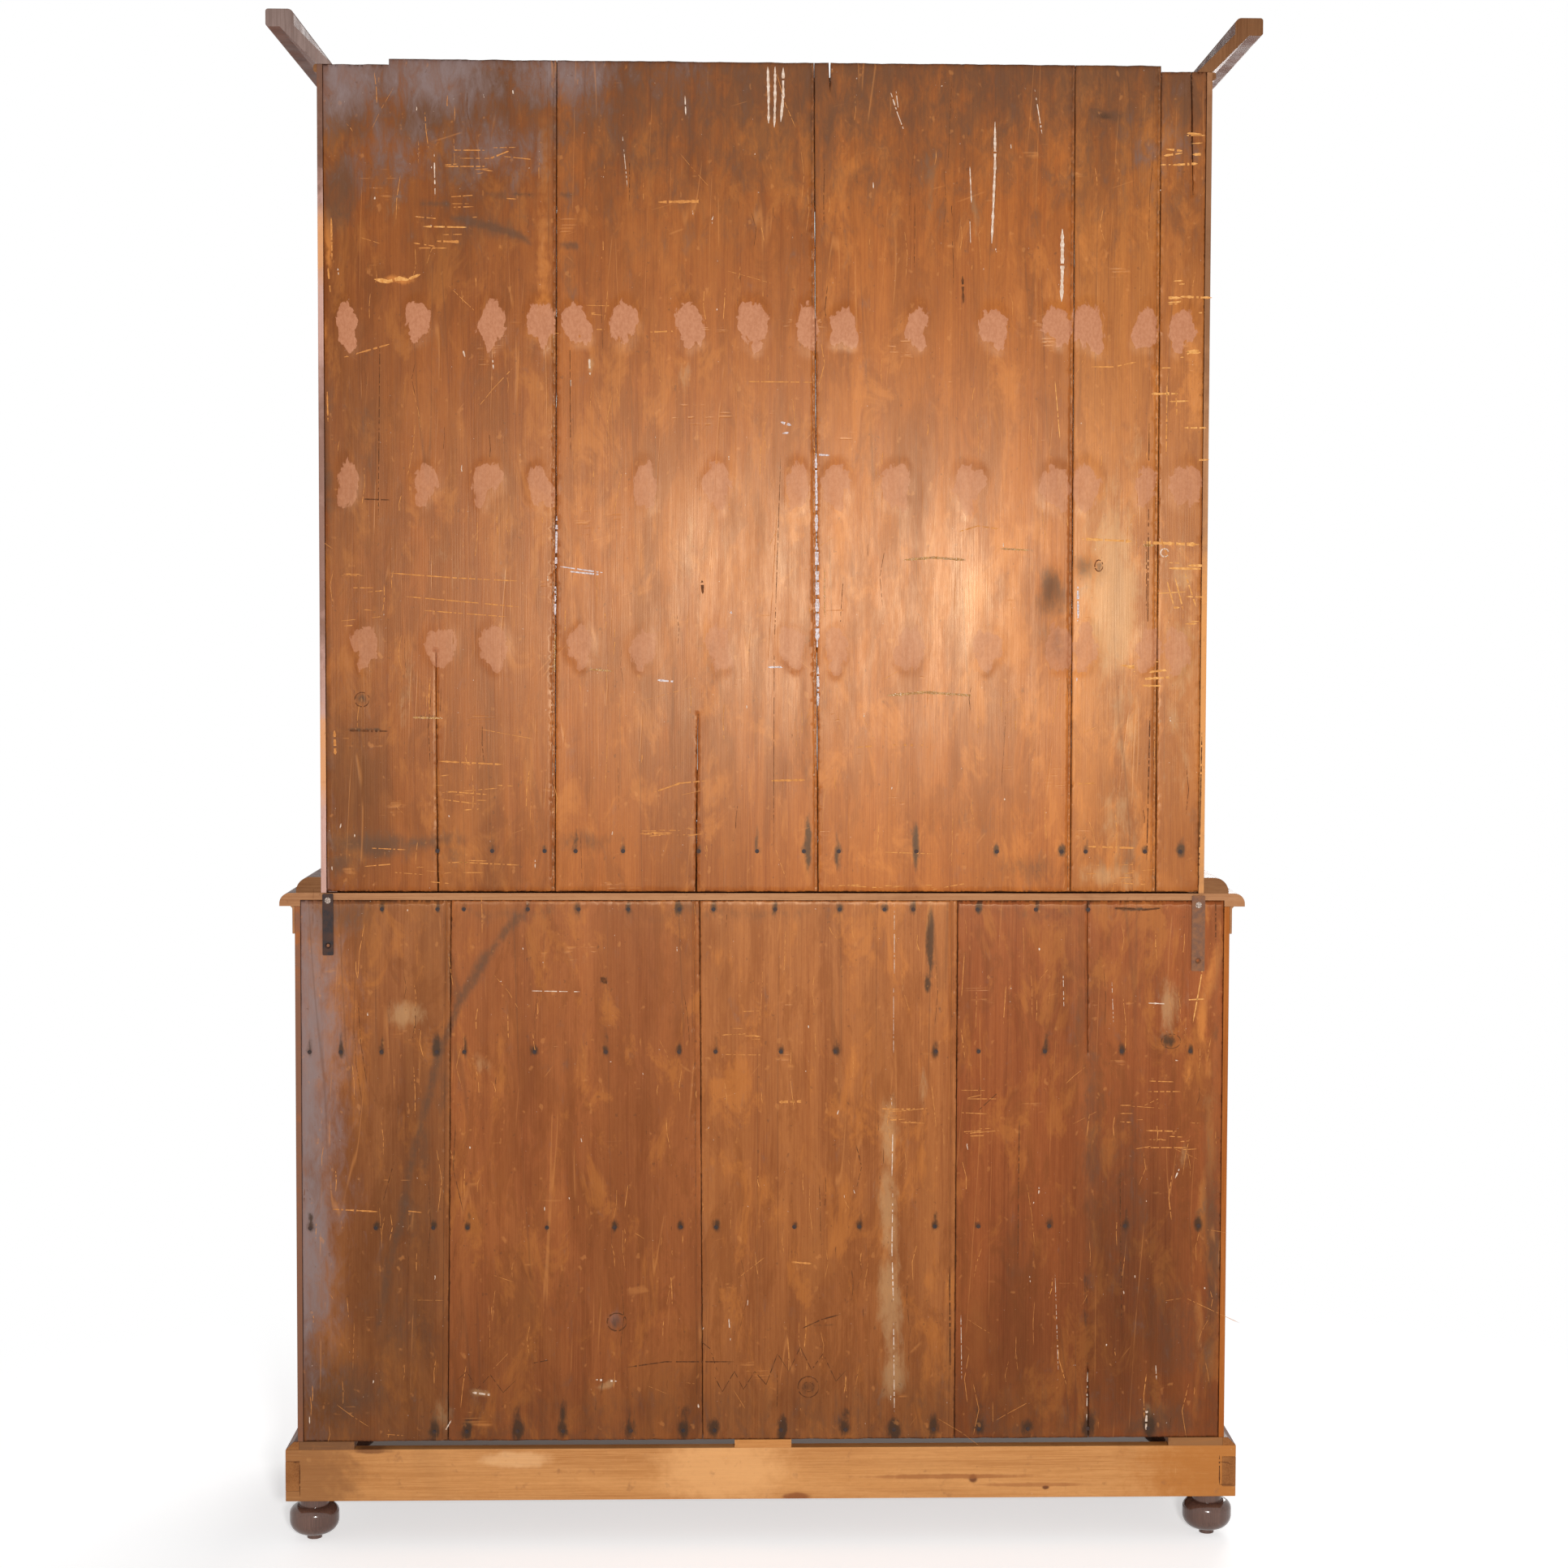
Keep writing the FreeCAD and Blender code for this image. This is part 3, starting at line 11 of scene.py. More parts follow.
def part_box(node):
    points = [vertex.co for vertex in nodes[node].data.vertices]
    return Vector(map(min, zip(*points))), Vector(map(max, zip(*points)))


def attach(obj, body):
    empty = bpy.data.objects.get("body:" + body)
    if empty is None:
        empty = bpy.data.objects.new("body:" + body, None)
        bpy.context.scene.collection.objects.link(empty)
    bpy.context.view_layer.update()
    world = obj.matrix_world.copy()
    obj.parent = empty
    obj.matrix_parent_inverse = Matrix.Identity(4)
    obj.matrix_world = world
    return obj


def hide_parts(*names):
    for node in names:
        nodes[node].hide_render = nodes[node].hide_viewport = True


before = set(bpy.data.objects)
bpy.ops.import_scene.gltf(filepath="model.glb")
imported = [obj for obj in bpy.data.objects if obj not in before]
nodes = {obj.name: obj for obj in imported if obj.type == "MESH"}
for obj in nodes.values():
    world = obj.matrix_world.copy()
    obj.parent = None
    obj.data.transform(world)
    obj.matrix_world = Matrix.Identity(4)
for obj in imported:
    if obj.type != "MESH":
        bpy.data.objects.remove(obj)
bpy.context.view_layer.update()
rng = np.random.default_rng(7)

MM = 0.001
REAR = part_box("upper_side_left")[1].y
UPPER_HALF = abs(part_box("upper_side_left")[0].x)
LOWER_HALF = abs(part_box("lower_side_left")[0].x)
SIDE_LIP = 8 * MM
NOTCH = (94 * MM, 8 * MM)
BOARD = 16 * MM
WELD = 0.01 * MM
ARRIS = 0.8 * MM
THIN = 50 * MM
WIDE = 100 * MM
NAIL_HEAD = 7 * MM
SEAM_GAP = 0.35 * MM
END_WOBBLE = 0.8 * MM
SIDE_WOBBLE = 0.35 * MM
SHOULDER = 1.6 * MM
GRID = 5 * MM
EDGE_DROP = 0.7 * MM
QUIRK_DEPTH = 1.0 * MM
FILLER_RISE = 0.12 * MM
STROKE_RISE = 0.07 * MM
HALF_PIXEL = 0.585 * MM

# The camera, solved from points measured in the photograph
PICTURE = 1932
SENSOR = 36
LENS = 61.491
SHIFT = (-0.02158, -0.02983)
CAMERA_PLACE = Vector((0.0315, 4.1069, 1.3681))
CAMERA_TURN = Euler((math.radians(87.2331), math.radians(-0.2073), math.radians(178.4096)))
FOCAL = LENS / SENSOR * PICTURE
CENTRE = ((0.5 - SHIFT[0]) * PICTURE, (0.5 + SHIFT[1]) * PICTURE)
VIEW = CAMERA_TURN.to_matrix()


def on_back(px, py):
    """The point (x, z) of the back's plane that the picture shows at a pixel."""
    ray = VIEW @ Vector(((px - CENTRE[0]) / FOCAL, (CENTRE[1] - py) / FOCAL, -1))
    reach = (REAR - CAMERA_PLACE.y) / ray.y
    hit = CAMERA_PLACE + reach * ray
    return hit.x, hit.z


def to_picture(x, z):
    """The pixels at which the picture shows points of the back's plane."""
    points = np.stack([x, np.full_like(x, REAR), z], 1) - np.array(CAMERA_PLACE)
    local = points @ np.array(VIEW)
    depth = -local[:, 2]
    return CENTRE[0] + FOCAL * local[:, 0] / depth, CENTRE[1] - FOCAL * local[:, 1] / depth


# Shading

GOLD = (1.0, 0.74, 0.48)
MEMBER_SHIFT = (13.0, 7.0, 29.0)


class Paint:
    """A material's nodes, joined as they are made."""

    def __init__(self, name, members=False):
        self.material = bpy.data.materials.new(name)
        self.material.use_nodes = True
        self.tree = self.material.node_tree
        self.surface = self.tree.nodes["Principled BSDF"]
        self.where = self.flow = self.put("TexCoord").outputs["Object"]
        if members:
            self.chance = self.field("member")
            shift = [self.times(self.chance, reach) for reach in MEMBER_SHIFT]
            shift = self.put("CombineXYZ", dict(enumerate(shift))).outputs[0]
            self.flow = self.put("VectorMath", {0: self.where, 1: shift}, operation="ADD").outputs[0]

    def join(self, socket, value):
        if isinstance(value, bpy.types.NodeSocket):
            self.tree.links.new(value, socket)
        elif isinstance(value, tuple) and len(value) == 3 and socket.type == "RGBA":
            socket.default_value = (*value, 1)
        else:
            socket.default_value = value

    def put(self, kind, inputs=None, **settings):
        node = self.tree.nodes.new("ShaderNode" + kind)
        for name, value in settings.items():
            setattr(node, name, value)
        for name, value in (inputs or {}).items():
            self.join(node.inputs[name], value)
        return node

    def math(self, operation, *values):
        node = self.put("Math", operation=operation)
        for socket, value in zip(node.inputs, values):
            self.join(socket, value)
        return node.outputs[0]

    def times(self, a, b):
        return self.math("MULTIPLY", a, b)

    def plus(self, a, b):
        return self.math("ADD", a, b)

    def minus(self, a, b):
        return self.math("SUBTRACT", a, b)

    def swing(self, value, size):
        """A noise's value about zero."""
        return self.times(self.minus(value, 0.5), size)

    def mix(self, factor, a, b, blend="MIX"):
        node = self.put("Mix", data_type="RGBA", blend_type=blend)
        for number, value in ((0, factor), (6, a), (7, b)):
            self.join(node.inputs[number], value)
        return node.outputs[2]

    def over(self, colour, tint, mask, strength):
        """A colour with a tint over it, where the mask is and as strong as is said."""
        return self.mix(self.times(mask, strength), colour, tint)

    def grey(self, value):
        return self.put("CombineColor", {0: value, 1: value, 2: value}).outputs[0]

    def shaded(self, colour, tone):
        return self.mix(1.0, colour, self.grey(tone), "MULTIPLY")

    def steps(self, value, low, high, out_low=0.0, out_high=1.0):
        node = self.put("MapRange", interpolation_type="SMOOTHSTEP")
        for number, setting in enumerate((value, low, high, out_low, out_high)):
            self.join(node.inputs[number], setting)
        return node.outputs[0]

    def field(self, name):
        return self.put("Attribute", attribute_name=name).outputs["Fac"]

    def place(self, start, scale, offset=(0, 0, 0)):
        return self.put("Mapping", {"Vector": start, "Scale": scale, "Location": offset}).outputs[0]

    def noise(self, scale, detail=3.0, roughness=0.6, distortion=0.0, offset=(0, 0, 0)):
        """Noise with its own scale along each axis, in waves per metre."""
        settings = {
            "Vector": self.place(self.flow, scale, offset),
            "Scale": 1.0,
            "Detail": detail,
            "Roughness": roughness,
            "Distortion": distortion,
        }
        return self.put("TexNoise", settings).outputs["Fac"]

    def lines(self, turn, across, along, width, seed):
        """Fine lines, turned from the upright, where a stretched noise crosses its middle value."""
        turn = (0, math.radians(turn), 0)
        turned = self.put("Mapping", {0: self.flow, "Rotation": turn, "Location": (seed, 0, 0)})
        drawn = self.put("Mapping", {0: turned.outputs[0], "Scale": (across, across, along)})
        settings = {"Vector": drawn.outputs[0], "Scale": 1.0, "Detail": 1.0, "Roughness": 0.4}
        value = self.put("TexNoise", settings).outputs["Fac"]
        away = self.math("ABSOLUTE", self.minus(value, 0.5))
        return self.steps(away, 0.0, width, 1.0, 0.0)

    def patches(self, scale, low, high, offset=(0, 0, 0), detail=2, roughness=0.55, distortion=0.0):
        return self.steps(self.noise(scale, detail, roughness, distortion, offset), low, high)

    def facing(self):
        """The object's own normal, as three numbers."""
        split = self.put("SeparateXYZ", {0: self.put("TexCoord").outputs["Normal"]})
        return split.outputs

    def spot(self, centre, reach, soft=0.6):
        """A blot round a point of the object, 1 at its middle."""
        scale = tuple(1 / r for r in reach)
        offset = tuple(-c / r for c, r in zip(centre, reach))
        local = self.place(self.where, scale, offset)
        away = self.put("VectorMath", {0: local}, operation="LENGTH").outputs["Value"]
        return self.steps(away, 1 - soft, 1 + soft, 1.0, 0.0)

    def bump(self, height, strength, distance=0.001):
        node = self.put("Bump", {"Height": height, "Strength": strength, "Distance": distance})
        self.join(self.surface.inputs["Normal"], node.outputs[0])

    def finish(self, colour, roughness, **others):
        self.join(self.surface.inputs["Base Color"], colour)
        self.join(self.surface.inputs["Roughness"], roughness)
        for name, value in others.items():
            self.join(self.surface.inputs[name.replace("_", " ")], value)
        return self.material


ALONG = {"X": (1, 0, 0), "Y": (0, 1, 0), "Z": (0, 0, 1)}


def stretched(axis, across, along):
    """A noise scale that is fine across the grain and long along it."""
    return tuple(along if grain else across for grain in ALONG[axis])


def grain(paint, axis, light, middle, dark, offset=(0, 0, 0)):
    """Softwood figure: rings cut lengthwise, soft bands, fine fibres. Returns the colour and the relief."""
    slow = paint.noise(stretched(axis, 4.5, 0.3), 2, 0.45, 0.4, offset)
    contour = paint.math("PINGPONG", paint.times(slow, 34.0), 1.0)
    rings = paint.steps(contour, 0.1, 1.0)
    bands = paint.patches(stretched(axis, 34, 0.9), 0.3, 0.7, offset, 3, 0.55, 0.3)
    fibres = paint.noise(stretched(axis, 520, 10), 3, 0.7, 0.0, offset)
    fine = paint.steps(fibres, 0.36, 0.64)
    colour = paint.over(middle, dark, bands, 0.75)
    colour = paint.over(colour, light, rings, 0.26)
    colour = paint.over(colour, light, fine, 0.42)
    flecks = paint.steps(paint.noise(stretched(axis, 260, 90), 3, 0.7, 0.0, offset), 0.34, 0.62, 0.16, 0.0)
    colour = paint.mix(flecks, colour, dark)
    relief = paint.plus(paint.times(fibres, 0.6), paint.times(rings, 0.2))
    return colour, relief


def scratched(paint, colour, fresh, deep, amount, seed, axis="Z"):
    """Fine wear: pale and dark hairlines along the grain, slanted scratches, short dashes and bruises."""
    lean = {"X": 90, "Y": 90, "Z": 0}[axis]
    along = paint.times(paint.lines(lean + 2, 30, 1.3, 0.012, seed), paint.patches((22, 22, 7), 0.54, 0.62))
    checks = paint.times(paint.lines(lean - 1, 17, 0.5, 0.01, seed + 9), paint.patches((9, 9, 3), 0.5, 0.6))
    layers = [(along, 0.55, fresh), (checks, 0.5, deep)]
    for turn, edge in ((38, 0.66), (-52, 0.68), (74, 0.64)):
        slant = paint.lines(lean + turn, 15, 0.5, 0.006, seed + turn)
        slant = paint.times(slant, paint.patches((12, 12, 12), edge, edge + 0.05, (turn, 3, 1)))
        layers.append((slant, 0.5, fresh))
    dashes = paint.lines(lean + 89, 120, 3, 0.06, seed + 4)
    dashes = paint.times(dashes, paint.patches((11, 11, 18), 0.66, 0.72, (seed, 0, 0)))
    dashes = paint.times(dashes, paint.patches((60, 60, 90), 0.48, 0.6))
    bruises = paint.patches((70, 70, 55), 0.66, 0.74, (seed, 8, 0))
    specks = paint.patches((150, 150, 110), 0.7, 0.75, (0, seed, 0))
    crumbs = paint.patches((310, 310, 230), 0.77, 0.8, (0, 0, seed))
    layers += [(dashes, 0.75, fresh), (bruises, 0.5, fresh), (specks, 0.6, deep), (crumbs, 0.8, CRUMBS)]
    for mask, strength, tint in layers:
        colour = paint.over(colour, tint, mask, strength * amount)
    return colour, paint.plus(along, dashes)


def worn_wood(
    name, axis, light, middle, dark, bare=(), blots=(), roughness=(0.42, 0.62), grime=0.35, wear=0.6,
    shine=0.3, relief=0.22, sheen=GOLD,
):
    """Weathered wood. Polished pieces are bare where they face the back, and inside the cornice."""
    paint = Paint(name, members=True)
    colour, height = grain(paint, axis, light, middle, dark)
    colour = paint.shaded(colour, paint.steps(paint.chance, 0.0, 1.0, 0.86, 1.12))
    rough = paint.steps(paint.noise((14, 14, 9)), 0.3, 0.7, *roughness)
    if bare:
        raw, _ = grain(paint, axis, *bare)
        facing = paint.facing()
        behind = paint.steps(facing["Y"], 0.55, 0.75)
        above = paint.times(paint.steps(facing["Z"], 0.1, 0.3), paint.field("top"))
        open_face = paint.math("MAXIMUM", behind, above)
        colour = paint.mix(open_face, colour, raw)
        rough = paint.plus(rough, paint.times(open_face, 0.35))
    blotch = paint.patches((6, 6, 4), 0.5, 0.75, (0, 0, 0), 4, 0.6, 0.8)
    colour = paint.over(colour, SOOT, blotch, grime)
    for x, z, reach, tint, strength in blots:
        ragged = paint.swing(paint.noise((50, 50, 50)), 1.2)
        blot = paint.steps(paint.plus(paint.spot((x, BLOT_Y, z), reach), ragged), 0.1, 1.0)
        colour = paint.over(colour, tint, blot, strength)
    colour, cuts = scratched(paint, colour, light, dark, wear, 3, axis)
    paint.bump(paint.minus(height, paint.times(cuts, 0.4)), relief)
    return paint.finish(colour, rough, Specular_IOR_Level=shine, Specular_Tint=sheen)


def back_wood(name, light, middle, dark, offset):
    """Boards of the back: grain, with grime, stain, pale wash, filler and old polish painted on the mesh, and
    painted light: highlights of the lamp's sheen, haze at the left edge and shade under the lower case's top
    board.
    """
    paint = Paint(name)
    seed = offset[0]
    colour, relief = grain(paint, "Z", light, middle, dark, offset)
    for scale, detail, roughness, distortion, place, low, high, strength, tint in (
        ((8, 8, 1.6), 4, 0.6, 0.6, offset, 0.42, 0.72, 0.5, (0.15, 0.036, 0.007)),
        ((5, 5, 4), 4, 0.65, 0.5, offset, 0.5, 0.75, 0.35, (0.47, 0.16, 0.036)),
        ((24, 24, 7), 5, 0.72, 0.8, offset, 0.47, 0.62, 0.42, (0.19, 0.046, 0.008)),
        ((19, 19, 8), 5, 0.7, 0.6, (seed, 3, seed), 0.52, 0.66, 0.42, (0.52, 0.17, 0.032)),
    ):
        mask = paint.patches(scale, low, high, place, detail, roughness, distortion)
        colour = paint.over(colour, tint, mask, strength)
    wander = paint.swing(paint.noise((60, 60, 24), 4, 0.7, 0.4, offset), 1.3)
    colour = paint.shaded(colour, paint.field("tone"))
    for field, low, high, strength, tint in (
        ("warm", 0.25, 0.85, 0.65, (0.58, 0.2, 0.04)),
        # pale wash, partly painted highlights of the lamp's sheen
        ("pale", 0.25, 0.85, 0.42, (0.5, 0.3, 0.14)),
        # grime, and painted shade under the lower case's top board
        ("grime", 0.1, 0.95, 0.84, (0.082, 0.035, 0.019)),
        # painted haze of light at the left edge, and a grey film near the top
        ("haze_and_grey_film", 0.1, 1.1, 0.75, (0.225, 0.17, 0.17)),
        ("stain", 0.25, 0.8, 0.88, (0.03, 0.014, 0.009)),
        ("seam", 0.4, 1.0, 0.6, (0.06, 0.022, 0.01)),
    ):
        mask = paint.steps(paint.plus(paint.field(field), wander), low, high)
        colour = paint.over(colour, tint, mask, strength)
    colour, cuts = scratched(paint, colour, (0.52, 0.2, 0.055), (0.07, 0.024, 0.012), 0.6, seed)
    torn = paint.swing(paint.noise((75, 75, 45), 3, 0.6, 0.6, offset), 1.0)
    filler = paint.steps(paint.plus(paint.field("filler"), torn), 0.46, 0.53)
    smear = paint.steps(paint.noise((300, 300, 200)), 0.3, 0.7)
    putty = paint.mix(smear, (0.36, 0.135, 0.066), (0.43, 0.178, 0.094))
    colour = paint.over(colour, putty, filler, paint.field("putty"))
    paint.bump(paint.minus(relief, paint.times(cuts, 0.4)), 0.25)
    rough = paint.steps(paint.noise((60, 60, 10), 5, 0.7, 0.3, offset), 0.3, 0.7, 0.3, 0.37)
    for mask, added in ((filler, 0.05), (paint.field("grime"), 0.2), (paint.field("gloss"), -0.05)):
        rough = paint.plus(rough, paint.times(mask, added))
    across = paint.put("CombineXYZ", {0: 1.0, 1: 0.0, 2: 0.0}).outputs[0]
    gleam = {"Specular_IOR_Level": 0.3, "Specular_Tint": GOLD, "Anisotropic": 0.5, "Tangent": across}
    return paint.finish(colour, rough, **gleam)


def plain(name, colour, other, roughness, scale=60, bump=0.2, **others):
    """One colour that varies a little, with a fine grain."""
    paint = Paint(name)
    mottle = paint.steps(paint.noise((scale, scale, scale), 4, 0.6), 0.35, 0.68)
    mixed = paint.mix(mottle, colour, other)
    fine = paint.noise((scale * 9, scale * 9, scale * 9), 2, 0.5)
    paint.bump(fine, bump, 0.0005)
    rough = paint.steps(mottle, 0.0, 1.0, roughness, min(1.0, roughness * 1.35))
    return paint.finish(mixed, rough, **others)


def window_glass():
    paint = Paint("old_glass")
    waves = paint.noise((9, 9, 5), 2, 0.4)
    paint.bump(waves, 0.25, 0.004)
    dust = paint.steps(paint.noise((40, 40, 40), 4, 0.6), 0.5, 0.8, 0.02, 0.12)
    return paint.finish((0.93, 0.97, 0.95), dust, Transmission_Weight=1.0, IOR=1.45)


# Palettes: the grain's light, middle and dark colour
OLD = ((0.46, 0.155, 0.036), (0.36, 0.104, 0.021), (0.25, 0.064, 0.012))
EDGE = ((0.46, 0.235, 0.115), (0.36, 0.165, 0.074), (0.23, 0.093, 0.04))
BARE = ((0.27, 0.125, 0.055), (0.19, 0.082, 0.034), (0.11, 0.042, 0.017))
RED = ((0.22, 0.066, 0.024), (0.145, 0.041, 0.016), (0.08, 0.022, 0.01))
FEET = ((0.165, 0.08, 0.056), (0.105, 0.049, 0.034), (0.055, 0.025, 0.018))
BLEACHED = ((0.6, 0.37, 0.31), (0.5, 0.29, 0.235), (0.36, 0.2, 0.155))
DUSTY = ((0.3, 0.215, 0.19), (0.22, 0.152, 0.132), (0.13, 0.085, 0.072))
TENON = ((0.42, 0.18, 0.06), (0.3, 0.115, 0.036), (0.19, 0.064, 0.02))
NEW = ((0.68, 0.31, 0.1), (0.53, 0.215, 0.06), (0.38, 0.135, 0.034))
RAIL = ((0.7, 0.34, 0.122), (0.55, 0.24, 0.074), (0.39, 0.15, 0.042))
FRESH = (0.62, 0.27, 0.085)
DARK = (0.1, 0.042, 0.022)
BROWN = (0.22, 0.085, 0.03)
RUSSET = (0.3, 0.1, 0.03)
PITCH = (0.12, 0.035, 0.014)
SOOT = (0.075, 0.032, 0.018)
CRUMBS = (0.72, 0.62, 0.52)
POLISH = {"roughness": (0.34, 0.48), "grime": 0.3, "wear": 0.35, "shine": 0.06, "relief": 0.06}
DULL = {**POLISH, "roughness": (0.4, 0.55), "shine": 0.08}
WORN = {**DULL, "shine": 0.1, "relief": 0.1}
RUBBED = {**WORN, "roughness": (0.35, 0.5), "shine": 0.12}
TURNED = {"roughness": (0.13, 0.24), "grime": 0.3, "wear": 0.3, "shine": 0.6, "relief": 0.1}
SAWN = {"roughness": (0.4, 0.55), "grime": 0.1, "wear": 0.3}
ROUGH = {"roughness": (0.45, 0.6), "grime": 0.2, "wear": 0.4}

# Blots in the plane of the back: x, z, reach, colour and strength
BLOT_Y = 0.244
LEFT_BLOTS = ((-0.636, 1.2, (0.02, 0.004, 0.24), FRESH, 0.9), (-0.636, 1.9, (0.02, 0.004, 0.24), DARK, 0.5))
RIGHT_BLOTS = (
    (0.636, 2.1, (0.02, 0.004, 0.16), DARK, 0.85), (0.636, 1.5, (0.02, 0.004, 0.2), DARK, 0.6),
    (0.636, 1.88, (0.02, 0.004, 0.05), FRESH, 0.7), (0.636, 1.15, (0.02, 0.004, 0.06), FRESH, 0.7),
)
LOWER_BLOTS = ((0.67, 0.5, (0.03, 0.004, 0.5), (0.16, 0.085, 0.06), 0.8),)
# On the rail, the pale blot at its middle (x 0.06) is a painted highlight of the lamp's sheen
RAIL_BLOTS = (
    (0.69, 0.1, (0.1, 0.05, 0.08), BROWN, 0.7), (-0.72, 0.1, (0.16, 0.05, 0.1), (0.4, 0.13, 0.02), 0.75),
    (0.06, 0.11, (0.09, 0.05, 0.05), (0.78, 0.4, 0.16), 0.6), (0.57, 0.139, (0.03, 0.05, 0.004), PITCH, 0.7),
    (-0.308, 0.094, (0.006, 0.03, 0.006), PITCH, 0.95), (-0.415, 0.08, (0.005, 0.03, 0.003), PITCH, 0.95),
    (-0.27, 0.097, (0.12, 0.03, 0.0035), RUSSET, 0.75), (-0.4, 0.084, (0.08, 0.03, 0.003), RUSSET, 0.6),
    (0.36, 0.125, (0.05, 0.05, 0.012), (0.8, 0.46, 0.22), 0.5),
    (-0.05, 0.068, (0.02, 0.05, 0.006), (0.2, 0.05, 0.015), 0.8),
)
BLOCK_BLOTS = (
    (0.64, 0.147, (0.3, 0.5, 0.3), (0.13, 0.055, 0.026), 0.9),
    (-0.64, 0.147, (0.3, 0.5, 0.3), (0.2, 0.085, 0.033), 0.85),
)

wood = {
    (kind, axis): worn_wood(f"{kind}_{axis}", axis, *colours, **finish)
    for kind, colours, finish in (
        ("old_pine", OLD, {"grime": 0.5}),
        ("polished_pine", RED, {**POLISH, "bare": BARE}),
        ("new_pine", NEW, {"grime": 0.1, "wear": 0.25}),
    )
    for axis in "XYZ"
}
special = {
    start: worn_wood(name, axis, *colours, bare, blots, **finish)
    for start, name, axis, colours, bare, blots, finish in (
        ("foot_", "feet", "Z", FEET, (), (), {**TURNED, "sheen": (1.0, 0.97, 0.95)}),
        ("upper_side_left", "left_side", "Z", RED, EDGE, LEFT_BLOTS, POLISH),
        ("upper_side_right", "right_side", "Z", RED, BLEACHED, RIGHT_BLOTS, POLISH),
        ("lower_side_", "lower_sides", "Z", RED, OLD, LOWER_BLOTS, POLISH),
        ("cornice_front", "cornice_front", "X", RED, BARE, (), POLISH),
        ("cornice_left", "cornice_left", "Z", RED, BARE, (), DULL),
        ("cornice_right", "cornice_right", "Z", RED, DUSTY, (), DULL),
        ("frieze_strips", "strips", "Y", RED, EDGE, (), WORN),
        ("lower_top_board", "top_board", "X", RED, EDGE, (), POLISH),
        ("plinth_side_", "plinth_sides", "Y", RED, TENON, (), RUBBED),
        ("plinth_back_rail", "rail_pine", "X", RAIL, (), RAIL_BLOTS, SAWN),
        ("plinth_blocks", "block_pine", "X", NEW, (), BLOCK_BLOTS, ROUGH),
    )
}
IRON = {"Metallic": 0.25, "Specular_IOR_Level": 0.2}
iron = plain("old_iron", (0.022, 0.015, 0.015), (0.06, 0.03, 0.021), 0.5, 90, 0.5, **IRON)
rust = plain("rusty_iron", (0.13, 0.05, 0.021), (0.22, 0.09, 0.038), 0.55, 120, 0.4, Specular_IOR_Level=0.3)
steel = plain("worn_steel", (0.3, 0.24, 0.2), (0.12, 0.08, 0.06), 0.35, 400, 0.3, Metallic=0.6)
brass = plain("tarnished_brass", (0.42, 0.27, 0.09), (0.22, 0.13, 0.05), 0.32, 50, 0.15, Metallic=0.9)
glass = window_glass()


# What each CAD node is made of


def grain_axis(low, high):
    """The direction of the grain: a board's longest side, but upright in a panel that is nearly square."""
    size = high - low
    if size[1] < THIN and size[2] > 0.7 * size[0] > WIDE:
        return 2
    return int(np.argmax(size))


def places(mesh):
    """Where a mesh's vertices are, a row each."""
    where = np.zeros(len(mesh.vertices) * 3)
    mesh.vertices.foreach_get("co", where)
    return where.reshape(-1, 3)


def add_field(mesh, name, values, domain="POINT"):
    layer = mesh.attributes.new(name, "FLOAT", domain)
    layer.data.foreach_set("value", np.array(values, np.float32))


def members(mesh):
    """The number of the loose member that each polygon belongs to, and each member's corners."""
    where = places(mesh)
    _, same = np.unique((where / WELD).round().astype(np.int64), axis=0, return_inverse=True)
    same = same.ravel()
    root = np.arange(same.max() + 1)

    def find(i):
        while root[i] != i:
            root[i] = root[root[i]]
            i = root[i]
        return i

    for polygon in mesh.polygons:
        first, *others = (find(same[v]) for v in polygon.vertices)
        for other in others:
            root[find(other)] = find(first)
    owner = np.array([find(same[polygon.vertices[0]]) for polygon in mesh.polygons])
    at = np.array([find(i) for i in same])
    return owner, {i: (where[at == i].min(0), where[at == i].max(0)) for i in np.unique(owner)}


def soften(node):
    """Rounds a board's arrises a little. The weld would spoil the CAD's own normals, so they go first."""
    mesh = node.data
    if mesh.has_custom_normals:
        mesh.attributes.remove(mesh.attributes["custom_normal"])
    sides = np.zeros(len(mesh.loops), np.int32)
    mesh.loops.foreach_get("edge_index", sides)
    borders = np.bincount(sides, minlength=len(mesh.edges)) == 1
    mesh.edges.foreach_set("use_edge_sharp", borders)
    weld = node.modifiers.new("weld", "WELD")
    weld.merge_threshold = WELD
    bevel = node.modifiers.new("arris", "BEVEL")
    bevel.width = ARRIS
    bevel.segments = 2
    bevel.limit_method = "ANGLE"
    bevel.angle_limit = math.radians(40)


def dress():
    metals = {"iron": iron, "brass": brass, "glass": glass}
    draw = np.random.default_rng(5)
    for name, node in nodes.items():
        mesh = node.data
        kind = mesh.materials[0].name.split(".")[0]
        owns = [material for start, material in special.items() if name.startswith(start)]
        if name == "tie_plate_left":
            owns = [rust]
        mesh.materials.clear()
        if name.startswith("cornice_"):
            add_field(mesh, "top", np.ones(len(mesh.vertices)))
        if owns or kind in metals:
            mesh.materials.append(owns[0] if owns else metals[kind])
        else:
            for axis in "XYZ":
                mesh.materials.append(wood[kind, axis])
        if kind in metals:
            continue
        owner, corners = members(mesh)
        chance = {i: draw.random() for i in corners}
        add_field(mesh, "member", [chance[i] for i in owner], "FACE")
        if not owns:
            axes = {i: grain_axis(low, high) for i, (low, high) in corners.items()}
            mesh.polygons.foreach_set("material_index", [axes[i] for i in owner])
        if not name.startswith("foot_"):
            soften(node)


def brighten_screws():
    """The tie plates' screws stand out of the back and are rubbed bright. The nails stay dark."""
    mesh = nodes["back_fasteners"].data
    mesh.materials.append(steel)
    owner, corners = members(mesh)
    proud = {i for i, (_, high) in corners.items() if high[1] > REAR + MM}
    mesh.polygons.foreach_set("material_index", [int(i in proud) for i in owner])


# The boards of the back


